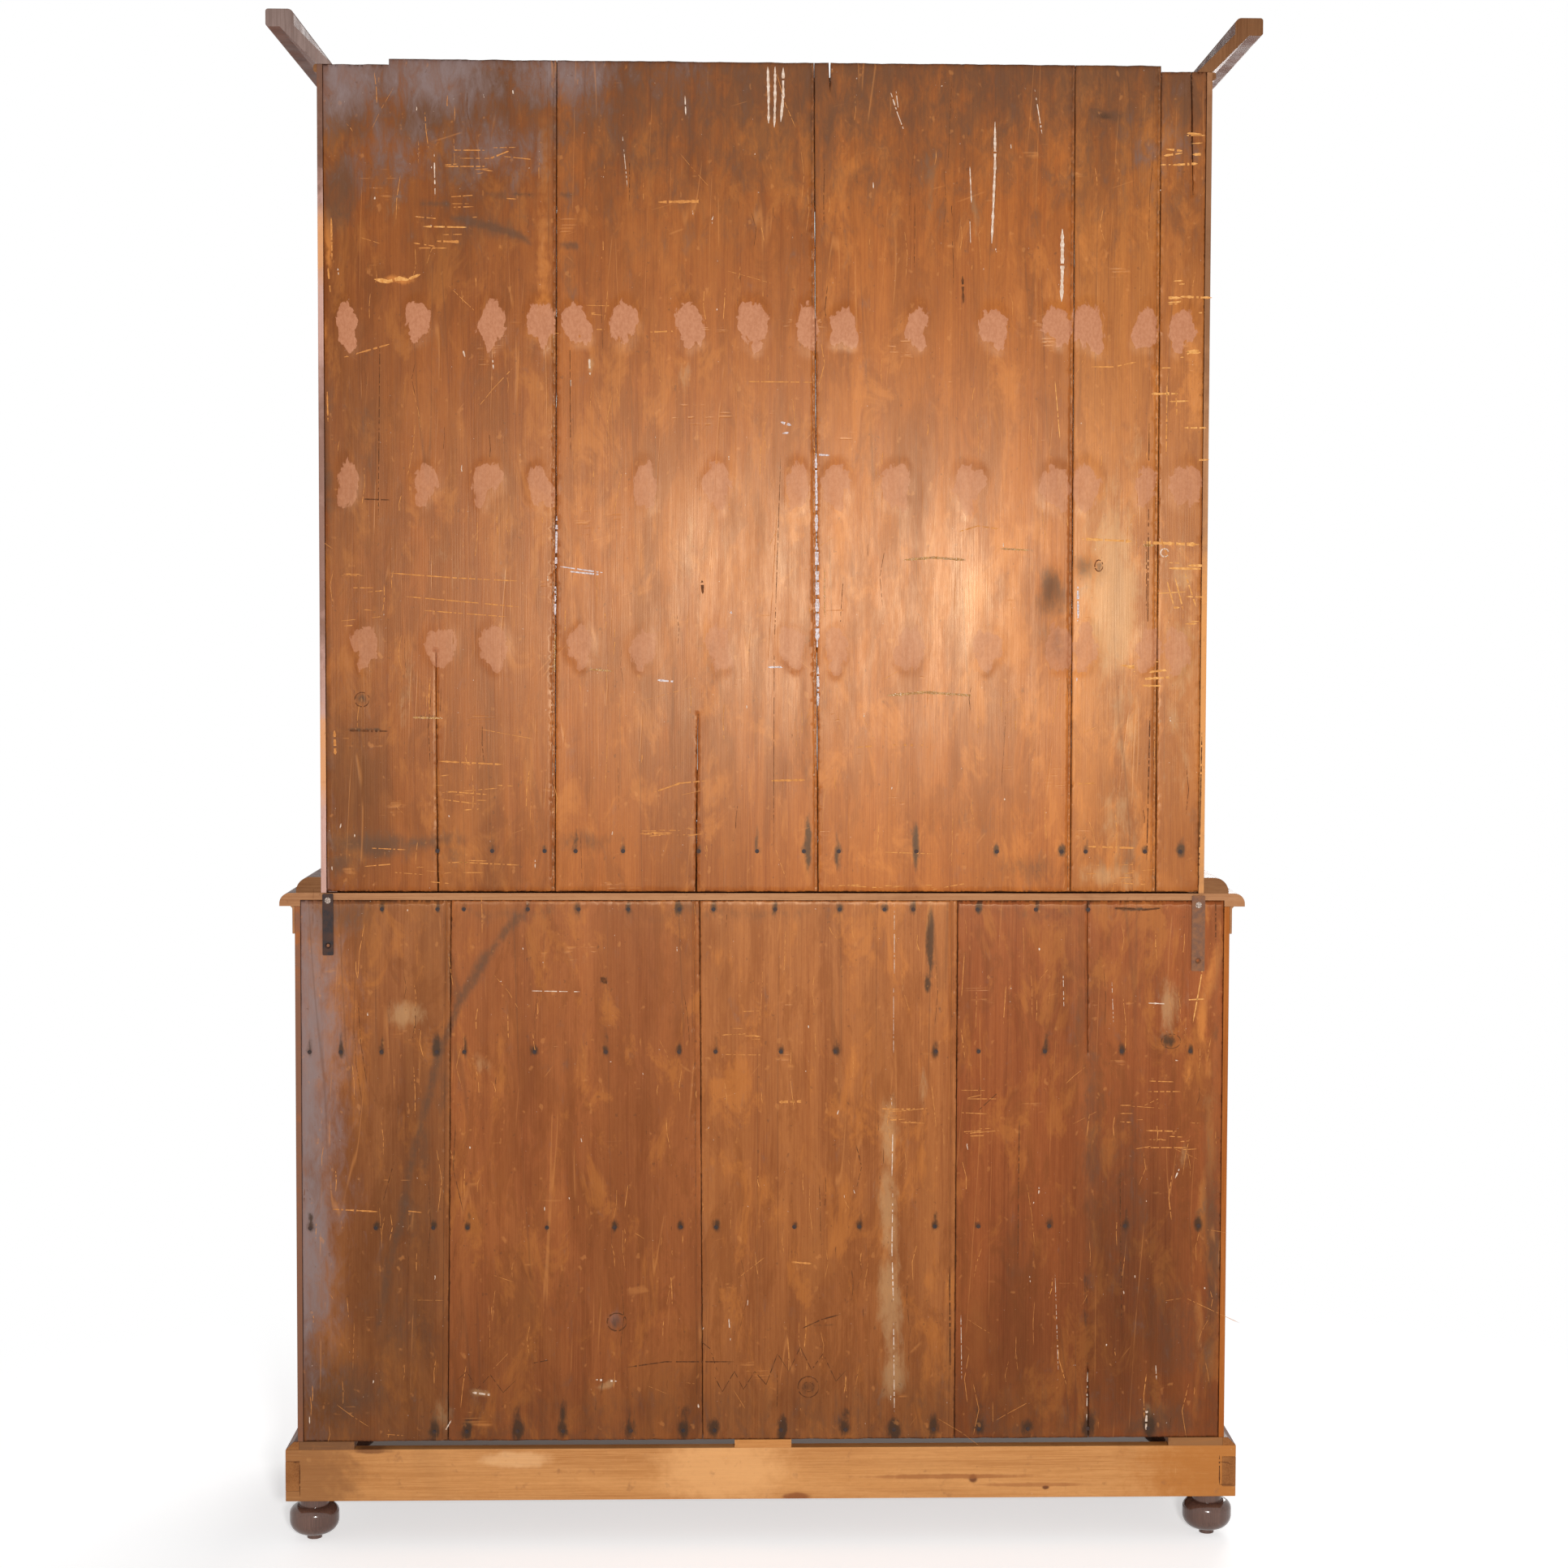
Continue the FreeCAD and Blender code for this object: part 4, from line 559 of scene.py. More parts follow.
def nail_heads():
    """Centres (x, z) of the nails' heads, read from the fasteners' mesh."""
    where = places(nodes["back_fasteners"].data)
    flush = where[np.abs(where[:, 1] - REAR) < 0.02 * MM][:, [0, 2]]
    left = flush[np.lexsort((flush[:, 0], flush[:, 1].round(3)))]
    centres = []
    while len(left):
        near = np.linalg.norm(left - left[0], axis=1) < NAIL_HEAD
        centres.append((left[near].min(0) + left[near].max(0)) / 2)
        left = left[~near]
    return np.array(centres)


def blobs(px, py, marks):
    """A field that is strongest in the middle of each mark."""
    total = np.zeros_like(px)
    for x, y, across, down, strength in marks:
        total = np.maximum(total, strength * np.exp(-(((px - x) / across) ** 2) - ((py - y) / down) ** 2))
    return total


# Marks seen in the picture, each a row of pixels: x, y, reach across, reach down, then its strength
GRIME_AND_SHADE = [
    (430, 130, 45, 70, 1), (520, 140, 60, 60, 0.95), (600, 100, 60, 40, 1), (470, 200, 60, 60, 0.6),
    (420, 230, 25, 70, 0.9), (560, 200, 70, 50, 0.6), (650, 120, 40, 50, 0.8), (600, 280, 70, 25, 0.5),
    (730, 110, 40, 60, 0.8), (850, 110, 90, 45, 0.65), (770, 220, 25, 60, 0.5), (955, 120, 50, 60, 0.5),
    (1020, 140, 18, 70, 0.8), (1090, 110, 60, 45, 0.55), (1190, 150, 70, 60, 0.6), (1280, 120, 40, 60, 0.6),
    (1380, 120, 60, 60, 0.7), (1345, 190, 20, 60, 0.4), (1470, 130, 25, 80, 0.95), (1450, 250, 20, 60, 0.5),
    (702, 330, 12, 90, 0.4), (1298, 732, 18, 30, 1), (1300, 790, 14, 30, 0.5), (1340, 700, 20, 14, 0.6),
    (402, 560, 10, 110, 0.7), (401, 860, 8, 100, 0.7), (455, 1042, 60, 18, 0.9), (420, 1066, 30, 16, 0.8),
    (520, 1036, 60, 10, 0.6), (725, 1036, 40, 14, 0.5), (560, 1056, 40, 10, 0.4), (1180, 1010, 60, 20, 0.25),
    (1270, 1072, 40, 18, 0.45), (1390, 1062, 50, 16, 0.3), (1479, 1030, 8, 60, 0.6), (870, 850, 8, 60, 0.25),
    (995, 900, 8, 120, 0.3), (930, 700, 10, 60, 0.2), (455, 520, 14, 120, 0.3), (610, 470, 30, 20, 0.3),
    (385, 1500, 18, 330, 0.7), (500, 1640, 60, 60, 0.45), (430, 1720, 60, 45, 0.7), (530, 1500, 14, 90, 0.4),
    (548, 1340, 12, 60, 0.5), (525, 1420, 14, 60, 0.5), (505, 1500, 14, 60, 0.45), (485, 1560, 18, 40, 0.4),
    (1345, 1420, 16, 170, 0.5), (1385, 1500, 40, 170, 0.35), (1494, 1560, 14, 220, 0.75),
    (1450, 1640, 50, 80, 0.45), (1420, 1752, 70, 25, 0.7), (1250, 1560, 18, 60, 0.3),
    (1330, 1250, 14, 100, 0.35), (1500, 1250, 8, 120, 0.4), (700, 1300, 60, 30, 0.2),
    (690, 1600, 40, 60, 0.2), (960, 1760, 300, 12, 0.35), (600, 1765, 120, 12, 0.5),
    (1240, 1762, 80, 14, 0.5), (560, 1200, 8, 60, 0.5), (1170, 1680, 12, 70, 0.3), (870, 1640, 10, 90, 0.3),
    # The last four rows are painted shade: a dark band along the top of the lower boards, under the lower
    # case's top board
    (640, 1125, 120, 10, 0.35), (900, 1125, 200, 9, 0.35), (1300, 1122, 120, 12, 0.4),
    (420, 1130, 40, 20, 0.6),
]
# Pale wash, and painted highlights: the rows round x 855, 1190 and 1385, between rows 640 and 900, paint the
# lamp's sheen in the middle of boards 2 to 4
PALE_WASH_AND_HIGHLIGHTS = [
    (1097, 1400, 14, 60, 0.75), (1095, 1500, 13, 80, 0.85), (1097, 1600, 15, 70, 0.95),
    (1101, 1690, 14, 50, 0.9), (1443, 1240, 14, 36, 0.85), (500, 1250, 24, 16, 0.85),
    (592, 1310, 18, 16, 0.6), (745, 1702, 17, 5, 0.9), (595, 1718, 15, 5, 0.8), (1412, 1742, 5, 16, 0.8),
    (545, 1745, 14, 20, 0.6), (1365, 1078, 48, 20, 0.75), (1460, 1420, 8, 30, 0.55), (1135, 1340, 7, 30, 0.5),
    (728, 450, 5, 13, 0.8), (1203, 270, 5, 40, 0.45), (845, 470, 10, 30, 0.4), (500, 850, 12, 60, 0.5),
    (855, 640, 30, 60, 0.3), (1185, 760, 30, 90, 0.25), (1385, 760, 14, 90, 0.5), (975, 505, 8, 14, 0.5),
    (470, 260, 40, 40, 0.3), (1150, 230, 14, 60, 0.35), (1110, 1690, 10, 30, 0.6), (720, 1180, 8, 20, 0.3),
    (480, 1245, 12, 20, 0.4), (1338, 1740, 4, 20, 0.5), (1372, 730, 40, 130, 0.95), (1388, 900, 24, 80, 0.55),
    (1195, 740, 46, 110, 0.4), (862, 660, 34, 80, 0.35), (1455, 840, 30, 200, 0.5),
    (1380, 1010, 34, 80, 0.55), (1455, 700, 20, 40, 0.6), (1400, 560, 16, 60, 0.5), (1215, 560, 20, 60, 0.3),
    (560, 700, 60, 50, 0.3),
]
WARM = [
    (1494, 1200, 10, 60, 0.7), (1482, 1260, 12, 40, 0.8), (1462, 1320, 9, 40, 0.6), (1490, 1310, 8, 60, 0.6),
    (1502, 1150, 5, 40, 0.6), (1484, 1480, 8, 60, 0.6), (1475, 1620, 8, 60, 0.5), (1496, 1680, 8, 40, 0.5),
    (405, 300, 6, 40, 0.9), (1468, 470, 18, 160, 0.55), (1470, 720, 16, 60, 0.5), (1440, 170, 24, 20, 0.6),
    (490, 343, 22, 6, 0.9), (405, 1060, 8, 30, 0.5), (1290, 360, 30, 30, 0.4), (700, 660, 10, 80, 0.3),
    (1494, 1420, 10, 90, 0.6), (1470, 1560, 8, 60, 0.4), (404, 420, 5, 30, 0.6), (1352, 1770, 20, 8, 0.5),
    (1130, 1190, 20, 60, 0.3), (1482, 1120, 10, 20, 0.6),
]
STAIN = [
    (995, 1040, 5, 40, 1), (1128, 1040, 5, 34, 0.95), (1146, 1160, 5, 46, 1.2), (1144, 1212, 4, 14, 1),
    (744, 1208, 6, 6, 0.9), (1152, 1296, 5, 16, 0.9), (932, 1040, 4, 22, 0.7), (1400, 1120, 30, 2.5, 0.9),
    (452, 900, 27, 2, 0.9), (525, 884, 20, 2.2, 0.9), (650, 240, 20, 3, 0.6), (1361, 143, 10, 5, 0.8),
    (735, 825, 18, 3, 0.7), (1016, 1632, 22, 2, 0.6), (1338, 1600, 3, 80, 0.5), (445, 860, 9, 8, 0.6),
    (760, 1629, 11, 11, 0.55), (996, 1709, 12, 12, 0.6), (1443, 1283, 12, 9, 0.7), (1186, 370, 4, 10, 0.7),
    (1031, 1054, 4, 20, 0.9), (1228, 1046, 4, 12, 0.7), (1354, 697, 5, 7, 0.9),
]
GLOSS = [
    (855, 670, 30, 80, 1), (1190, 700, 40, 110, 1), (1385, 740, 20, 70, 0.9), (950, 850, 50, 80, 0.6),
    (1160, 880, 60, 60, 0.6), (600, 640, 50, 80, 0.5), (960, 700, 40, 120, 0.4), (590, 430, 30, 40, 0.6),
]
# Painted haze of light down the left edge of the lower case, and a grey film near the top of the upper boards
HAZE_AND_GREY_FILM = [
    (374, 1330, 50, 280, 1), (374, 1530, 40, 190, 1), (420, 100, 60, 60, 0.8), (374, 1130, 30, 60, 0.7),
    (540, 88, 100, 55, 0.75), (690, 88, 90, 50, 0.65), (490, 185, 90, 55, 0.4), (610, 185, 90, 50, 0.4),
    (760, 1629, 11, 11, 0.5), (1440, 190, 60, 60, 0.3), (830, 90, 80, 40, 0.3),
]
SMEAR = [(640, 1130), (600, 1172), (562, 1240), (530, 1340), (505, 1440), (480, 1560), (468, 1640)]
STREAK = [(671, 150), (672, 250), (668, 430)]
SMUDGES = [
    [(602, 240), (626, 242)], [(634, 240), (664, 241)], [(692, 240), (708, 241)], [(520, 250), (556, 252)],
    [(560, 268), (600, 278), (640, 290), (656, 301)], [(690, 302), (713, 303)], [(1345, 136), (1380, 146)],
]
DEEP = [
    (1390, 1560, 80, 190, 0.4), (1270, 1640, 50, 150, 0.22), (490, 1560, 70, 260, 0.28),
    (430, 600, 70, 420, 0.22), (425, 985, 60, 150, 0.5), (395, 1720, 60, 70, 0.4), (392, 1120, 40, 40, 0.35),
    (1330, 1250, 90, 120, 0.12), (640, 1640, 120, 120, 0.1), (960, 1735, 500, 50, 0.2),
    (620, 1180, 90, 200, 0.1), (1480, 620, 20, 300, 0.1), (530, 240, 130, 160, 0.14),
    (850, 190, 120, 110, 0.16),
]
# Columns and rows of the picture: where fillers and nails change, and between which rows a field fades
PALE_FILLER_LEFT = 450
FILLED_ABOVE = 900
FOOT_NAILS = 1650
TOP_DIRT = (70, 400)
FOOT_DIRT = (1640, 1780)
DARK_FOOT = (1250, 1750)
DARK_TOP = (640, 340)
PUTTY_FOOT = 960
PUTTY_RUN = 560


def trail(points, reach, strength):
    """Marks along a line of the picture, close enough to run together."""
    marks = []
    for (ax, ay), (bx, by) in zip(points, points[1:]):
        count = max(1, round(math.hypot(bx - ax, by - ay) / reach))
        for i in range(count):
            marks.append((ax + (bx - ax) * i / count, ay + (by - ay) * i / count, reach, reach, strength))
    return marks


FACES = []


def surface_drop(x, z, low, high):
    """How far a board's face lies in front of the back's plane: a slight cup and old plane marks."""
    share = np.clip((x - low) / (high - low), 0, 1)
    cup = 0.35 * MM * (2 * share - 1) ** 2
    ripple = np.array([noise.noise((a * 9, 0.3, b * 2.2)) for a, b in zip(x, z)])
    return 0.25 * MM + cup + 0.12 * MM * (ripple + 0.6)


def face_y(x, z):
    """The height of the back's face at points that may lie on any board."""
    result = np.full_like(x, REAR)
    for low, high, bottom, top in FACES:
        on = (x >= low) & (x <= high) & (z >= bottom) & (z <= top)
        if on.any():
            result[on] = REAR - surface_drop(x[on], z[on], low, high)
    return result


def wobbly(start, end, size, seed, step=6 * MM):
    """Points from start to just before end, off the straight line by up to size."""
    start, end = Vector(start), Vector(end)
    run = end - start
    count = max(2, int(run.length / step))
    across = Vector((-run.y, run.x)).normalized()
    points = []
    for i in range(count):
        at = start + run * (i / count)
        sway = noise.noise((seed, at.x * 40, at.y * 40)) + 0.5 * noise.noise((seed, at.x * 160, at.y * 160))
        points.append(at + across * sway * size * (0 if i == 0 else 1))
    return points


def edge_x(z, low, high):
    """Where a slanting edge from the corner low to the corner high lies at the height z."""
    return low[0] + (high[0] - low[0]) * (z - low[1]) / (high[1] - low[1])


def show(name, mesh, material):
    mesh.materials.append(material)
    piece = bpy.data.objects.new(name, mesh)
    bpy.context.scene.collection.objects.link(piece)
    return piece


def board(name, corners, material, cracks, heads, bead, board_tone):
    """A back board with worn edges, open cracks and fields for its stains.

    Corners run counterclockwise in (x, z).
    """
    outline = []
    for start, end in zip(corners, corners[1:] + corners[:1]):
        size = END_WOBBLE if abs(start[1] - end[1]) < MM else SIDE_WOBBLE
        outline += wobbly(start, end, size, rng.random() * 50)
    low, high = min(p.x for p in outline), max(p.x for p in outline)
    bottom, top = min(p.y for p in outline), max(p.y for p in outline)
    middle = (low + high) / 2
    inner = [p + Vector((math.copysign(SHOULDER, middle - p.x), 0)) for p in outline]
    FACES.append((low, high, bottom, top))
    xs = np.arange(low + 4 * MM, high - 3 * MM, GRID)
    zs = np.arange(bottom + 4 * MM, top - 3 * MM, GRID)
    inside = [Vector((x + rng.uniform(-1, 1) * MM, z + rng.uniform(-1, 1) * MM)) for x in xs for z in zs]

    def bead_at(z):
        return edge_x(z, corners[0], corners[-1]) + bead

    if bead:
        inside = [p for p in inside if abs(p.x - bead_at(p.y)) > 2.2 * MM]
        for z in np.arange(bottom + 3 * MM, top - 2 * MM, GRID):
            inside += [Vector((bead_at(z) + offset * MM, z)) for offset in (-0.9, 0, 0.9)]
    points = list(outline)
    faces = [list(range(len(outline)))]
    for rim_of_crack, beside in cracks:
        faces.append(list(range(len(points), len(points) + len(rim_of_crack))))
        points += rim_of_crack
        inner += beside
    points += inner + inside
    made, _, triangles, _, _, owners = delaunay_2d_cdt(points, [], faces, 1, WELD)
    tri = np.array([t for t, who in zip(triangles, owners) if len(who) == 1 and who[0] == 0])
    flat = np.array([(p.x, p.y) for p in made])
    used, tri = np.unique(tri, return_inverse=True)
    tri = tri.reshape(-1, 3)
    flat = flat[used]
    x, z = flat[:, 0], flat[:, 1]
    pairs = np.concatenate([tri[:, [0, 1]], tri[:, [1, 2]], tri[:, [2, 0]]])
    _, first, counts = np.unique(np.sort(pairs, 1), axis=0, return_index=True, return_counts=True)
    rim = pairs[first[counts == 1]]
    edges = np.zeros(len(flat))
    edges[np.unique(rim)] = 1
    fields = paint_fields(x, z, heads, board_tone)
    raised = np.clip(fields["filler"] * 3 - 0.6, 0, 1)
    drop = surface_drop(x, z, low, high) * (1 - raised) - FILLER_RISE * raised + edges * EDGE_DROP
    if bead:
        quirk = np.abs(x - bead_at(z)) < 0.4 * MM
        drop += quirk * QUIRK_DEPTH
        edges = np.maximum(edges, quirk)
    fields["seam"] = edges
    count = len(flat)
    front = np.stack([x, REAR - drop, z], 1)
    behind = np.stack([x, np.full(count, REAR - BOARD), z], 1)
    start, end = rim.T
    walls = [np.stack([start, end, end + count], 1), np.stack([start, end + count, start + count], 1)]
    all_faces = np.concatenate([tri[:, ::-1], tri + count, *walls])
    mesh = bpy.data.meshes.new(name)
    mesh.from_pydata(np.concatenate([front, behind]).tolist(), [], all_faces.tolist())
    mesh.polygons.foreach_set("use_smooth", np.arange(len(all_faces)) < len(tri))
    for field, values in fields.items():
        add_field(mesh, field, np.concatenate([values, values if field == "tone" else values * 0]))
    return show(name, mesh, material)


def fade(value, start, end):
    """0 before start, 1 after end and even between them."""
    return np.clip((value - start) / (end - start), 0, 1)


def paint_fields(x, z, heads, board_tone):
    """Where the board is stained, filled, washed pale and so on, from the marks seen in the picture, with
    painted highlights, painted haze and painted shade among them.
    """
    px, py = to_picture(x, z)
    sway = np.array([noise.noise((a * 30, 5.5, b * 12)) for a, b in zip(x, z)]) * 7
    px2, py2 = px + sway, py + sway * 1.5
    stains, fillers = list(STAIN), []
    smudges = [mark for line in SMUDGES for mark in trail(line, 4, 0.6)]
    for head_x, head_y in zip(*to_picture(*heads.T)):
        if head_y < FILLED_ABOVE:
            size = rng.uniform(0.75, 1.25) * (0.7 if head_x < PALE_FILLER_LEFT else 1.1)
            fillers.append((head_x + rng.uniform(-3, 3), head_y, 17 * size, 28 * rng.uniform(0.8, 1.15), 1))
            fillers.append((head_x + rng.uniform(-14, 14), head_y + rng.uniform(-14, 16), 10, 18, 0.95))
            fillers.append((head_x + rng.uniform(-8, 8), head_y + rng.uniform(16, 26), 10, 15, 0.8))
            continue
        foot = 1.8 if head_y > FOOT_NAILS else 1.0
        reach = (rng.uniform(4, 6) * foot, rng.uniform(7, 11) * foot)
        stains.append((head_x, head_y - 2, *reach, rng.uniform(0.7, 1)))
        if rng.random() < 0.6:
            run = (rng.uniform(8, 20), rng.uniform(0.4, 0.75))
            stains.append((head_x + 1, head_y - 12 * foot, 4 * foot, *run))
    dirt = (1 - fade(py, *TOP_DIRT)) ** 1.2 * 0.85 + fade(py, *FOOT_DIRT) * 0.4
    tone = board_tone * (1 - 0.2 * fade(py, *DARK_FOOT)) * (1 - blobs(px2, py2, DEEP))
    return {
        # grime, with painted shade along the top of the lower boards
        "grime": np.maximum(blobs(px2, py2, GRIME_AND_SHADE + trail(SMEAR, 8, 0.8)) + blobs(px, py, smudges), dirt),
        # pale wash, with painted highlights of the lamp's sheen
        "pale": blobs(px2, py2, PALE_WASH_AND_HIGHLIGHTS),
        "warm": blobs(px2, py2, WARM + trail(STREAK, 15, 0.55)),
        "stain": blobs(px + sway * 0.2, py, stains),
        "filler": blobs(px + sway * 0.6, py + sway, fillers),
        "putty": np.clip((PUTTY_FOOT - py) / PUTTY_RUN, 0.6, 0.9),
        "gloss": blobs(px2, py2, GLOSS),
        # painted haze of light at the left edge, and a grey film near the top
        "haze_and_grey_film": blobs(px2, py2, HAZE_AND_GREY_FILM),
        "tone": tone * (1 - 0.14 * fade(py, *DARK_TOP)),
    }


def crack(points, widths):
    """The outline of an open crack along points of the picture, with its width in millimetres at each.

    Also returns points close beside it, which keep its dark rim narrow.
    """
    line = [Vector(on_back(*p)) for p in points]
    right, left = [], []
    for (a, b), (wide_a, wide_b) in zip(zip(line, line[1:]), zip(widths, widths[1:])):
        count = max(2, int((b - a).length / (7 * MM)))
        for i in range(count):
            share = i / count
            at = a.lerp(b, share)
            half = (wide_a + (wide_b - wide_a) * share) * MM / 2
            sway = 0.5 * MM * noise.noise((a.x * 50, 9.1, at.y * 45))
            right.append(Vector((at.x + half + sway, at.y)))
            left.append(Vector((at.x - half + sway, at.y)))
    near = Vector((1.1 * MM, 0))
    beside = [p + near for p in right] + [p - near for p in left]
    right.append(line[-1])
    rim = right + left[::-1]
    area = sum(p.x * q.y - q.x * p.y for p, q in zip(rim, rim[1:] + rim[:1]))
    return (rim if area > 0 else rim[::-1]), beside


# Open cracks: points of the picture, and the width in millimetres at each
CRACKS = {
    "upper_back_board_1": [([(540, 1106), (539, 1050), (538, 960), (537, 800)], [1.5, 1.0, 0.6, 0.25])],
    "upper_back_board_2": [([(858, 1106), (858, 1050), (859, 960), (860, 880)], [1.9, 1.3, 0.6, 0.25])],
    "upper_back_board_3": [([(1022, 70), (1022.5, 86), (1023, 112)], [3.2, 2.4, 0.3])],
    "upper_back_board_5": [([(1468, 80), (1469, 160), (1470, 240)], [0.8, 1.3, 0.3])],
    "lower_back_board_4": [
        ([(1340, 1104), (1340, 1200), (1340, 1300)], [0.5, 0.4, 0.25]),
        ([(1341, 1782), (1341, 1730), (1340, 1680)], [1.2, 0.6, 0.3]),
    ],
}
# Each case of the back. A seam is where it stands in the picture on the two rows. Tints and tones go by
# board, from the left of the picture.
CASES = {
    "upper": {
        "half": UPPER_HALF,
        "heights": (0.9575, 2.145),
        "rows": (100, 1090),
        "seams": ((686, 684), (1003, 1008), (1325, 1319), (1431, 1424)),
        "bead": 4 * MM,
        "palette": ((0.45, 0.142, 0.025), (0.335, 0.09, 0.0155), (0.215, 0.049, 0.0085)),
        "tints": (
            (0.98, 0.91, 0.93), (1.0, 0.95, 0.95), (1.0, 0.97, 0.92), (0.97, 1.07, 1.2), (1.05, 1.16, 1.35),
        ),
        "tones": (0.84, 0.96, 1.06, 1.14, 1.12),
    },
    "lower": {
        "half": LOWER_HALF,
        "heights": (0.1535, 0.9445),
        "rows": (1130, 1760),
        "seams": ((556, 552), (862, 866), (1180, 1176)),
        "bead": 8 * MM,
        "palette": ((0.44, 0.143, 0.036), (0.335, 0.092, 0.0205), (0.22, 0.052, 0.0125)),
        # The first board's greyer, bluer tint is partly painted haze of light at the left edge
        "tints": ((0.98, 1.08, 1.3), (1.0, 0.96, 1.04), (0.98, 1.07, 1.18), (0.95, 0.8, 0.8)),
        "tones": (0.8, 0.86, 0.98, 0.82),
    },
}


def make_back(case, heads):
    """All the back boards of a case, from the left of the picture."""
    form = CASES[case]
    bottom, top = form["heights"]
    upper_row, lower_row = form["rows"]
    edge = form["half"] - SIDE_LIP
    lines = [(edge, edge)]
    lines += [(on_back(above, upper_row)[0], on_back(below, lower_row)[0]) for above, below in form["seams"]]
    lines.append((-edge, -edge))
    last = len(lines) - 2
    for i, (tint, tone) in enumerate(zip(form["tints"], form["tones"])):
        name = f"{case}_back_board_{i + 1}"
        right_top, right_bottom = (at - SEAM_GAP for at in lines[i])
        left_top, left_bottom = (at + SEAM_GAP for at in lines[i + 1])
        corners = [(left_bottom, bottom), (right_bottom, bottom), (right_top, top), (left_top, top)]
        inner, shoulder = edge - NOTCH[0], top - NOTCH[1]
        if case == "upper" and i == 0:
            corners[2:3] = [(right_top, shoulder), (inner, shoulder), (inner, top)]
        if case == "upper" and i == last:
            corners[3:] = [(-inner, top), (-inner, shoulder), (left_top, shoulder)]
        cuts = [crack(*c) for c in CRACKS.get(name, [])]
        offset = tuple(rng.uniform(-40, 40, 3))
        palette = [tuple(np.multiply(colour, tint).tolist()) for colour in form["palette"]]
        material = back_wood(f"{name}_wood", *palette, offset)
        bead = 0 if i == last else form["bead"]
        piece = board(f"{name}_wood", corners, material, cuts, heads, bead, tone)
        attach(piece, "case")
        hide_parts(name)


# Strokes: scratches, drips, slots and painted glints


def stroke(row, worn):
    """A thin strip on the back's face, with worn gaps."""
    width, *drawn = row
    line = [np.array(on_back(*p)) for p in zip(drawn[::2], drawn[1::2])]
    spots = []
    for a, b in zip(line, line[1:]):
        count = max(2, int(np.linalg.norm(b - a) / (3 * MM)))
        spots += [a + (b - a) * i / count for i in range(count)]
    spots = np.array([*spots, line[-1]])
    way = np.gradient(spots, axis=0)
    across = np.stack([-way[:, 1], way[:, 0]], 1) / np.linalg.norm(way, axis=1)[:, None]
    share = np.linspace(0, 1, len(spots))
    half = width * HALF_PIXEL * np.clip(np.minimum(share, 1 - share) * 9 + 0.15, 0, 1)
    rough = np.array([noise.noise((p[0] * 220, 2.2, p[1] * 220)) for p in spots])
    half = half * (1 + 0.7 * rough)
    flat = np.concatenate([spots + across * half[:, None], spots - across * half[:, None]])
    height = face_y(flat[:, 0], flat[:, 1]) + STROKE_RISE
    count = len(spots)
    broken = [noise.noise((p[0] * 380, 7.7, p[1] * 380)) < worn for p in spots]
    faces = [(i, i + 1, count + i + 1, count + i) for i in range(count - 1) if not broken[i]]
    return np.stack([flat[:, 0], height, flat[:, 1]], 1), faces


def strokes(name, drawn, material, worn=-0.2):
    verts, faces = [], []
    for row in drawn:
        spots, quads = stroke(row, worn)
        faces += [tuple(i + len(verts) for i in quad) for quad in quads]
        verts += spots.tolist()
    mesh = bpy.data.meshes.new(name)
    mesh.from_pydata(verts, [], faces)
    piece = show(name, mesh, material)
    for polygon in mesh.polygons:
        if polygon.normal.y < 0:
            polygon.flip()
    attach(piece, "case")


# Strokes seen in the picture, each a row of pixels: its width, then x, y, x, y and so on
DRIPS = [
    (2.6, 946, 82, 947, 120, 947, 152), (2.6, 955, 82, 955, 125, 954, 157),
    (2.8, 965, 83, 965, 118, 962, 150), (2.6, 1226, 150, 1226, 205, 1222, 300),
    (3.6, 1309, 282, 1309, 330, 1308, 372), (1.2, 1195, 205, 1197, 250),
]
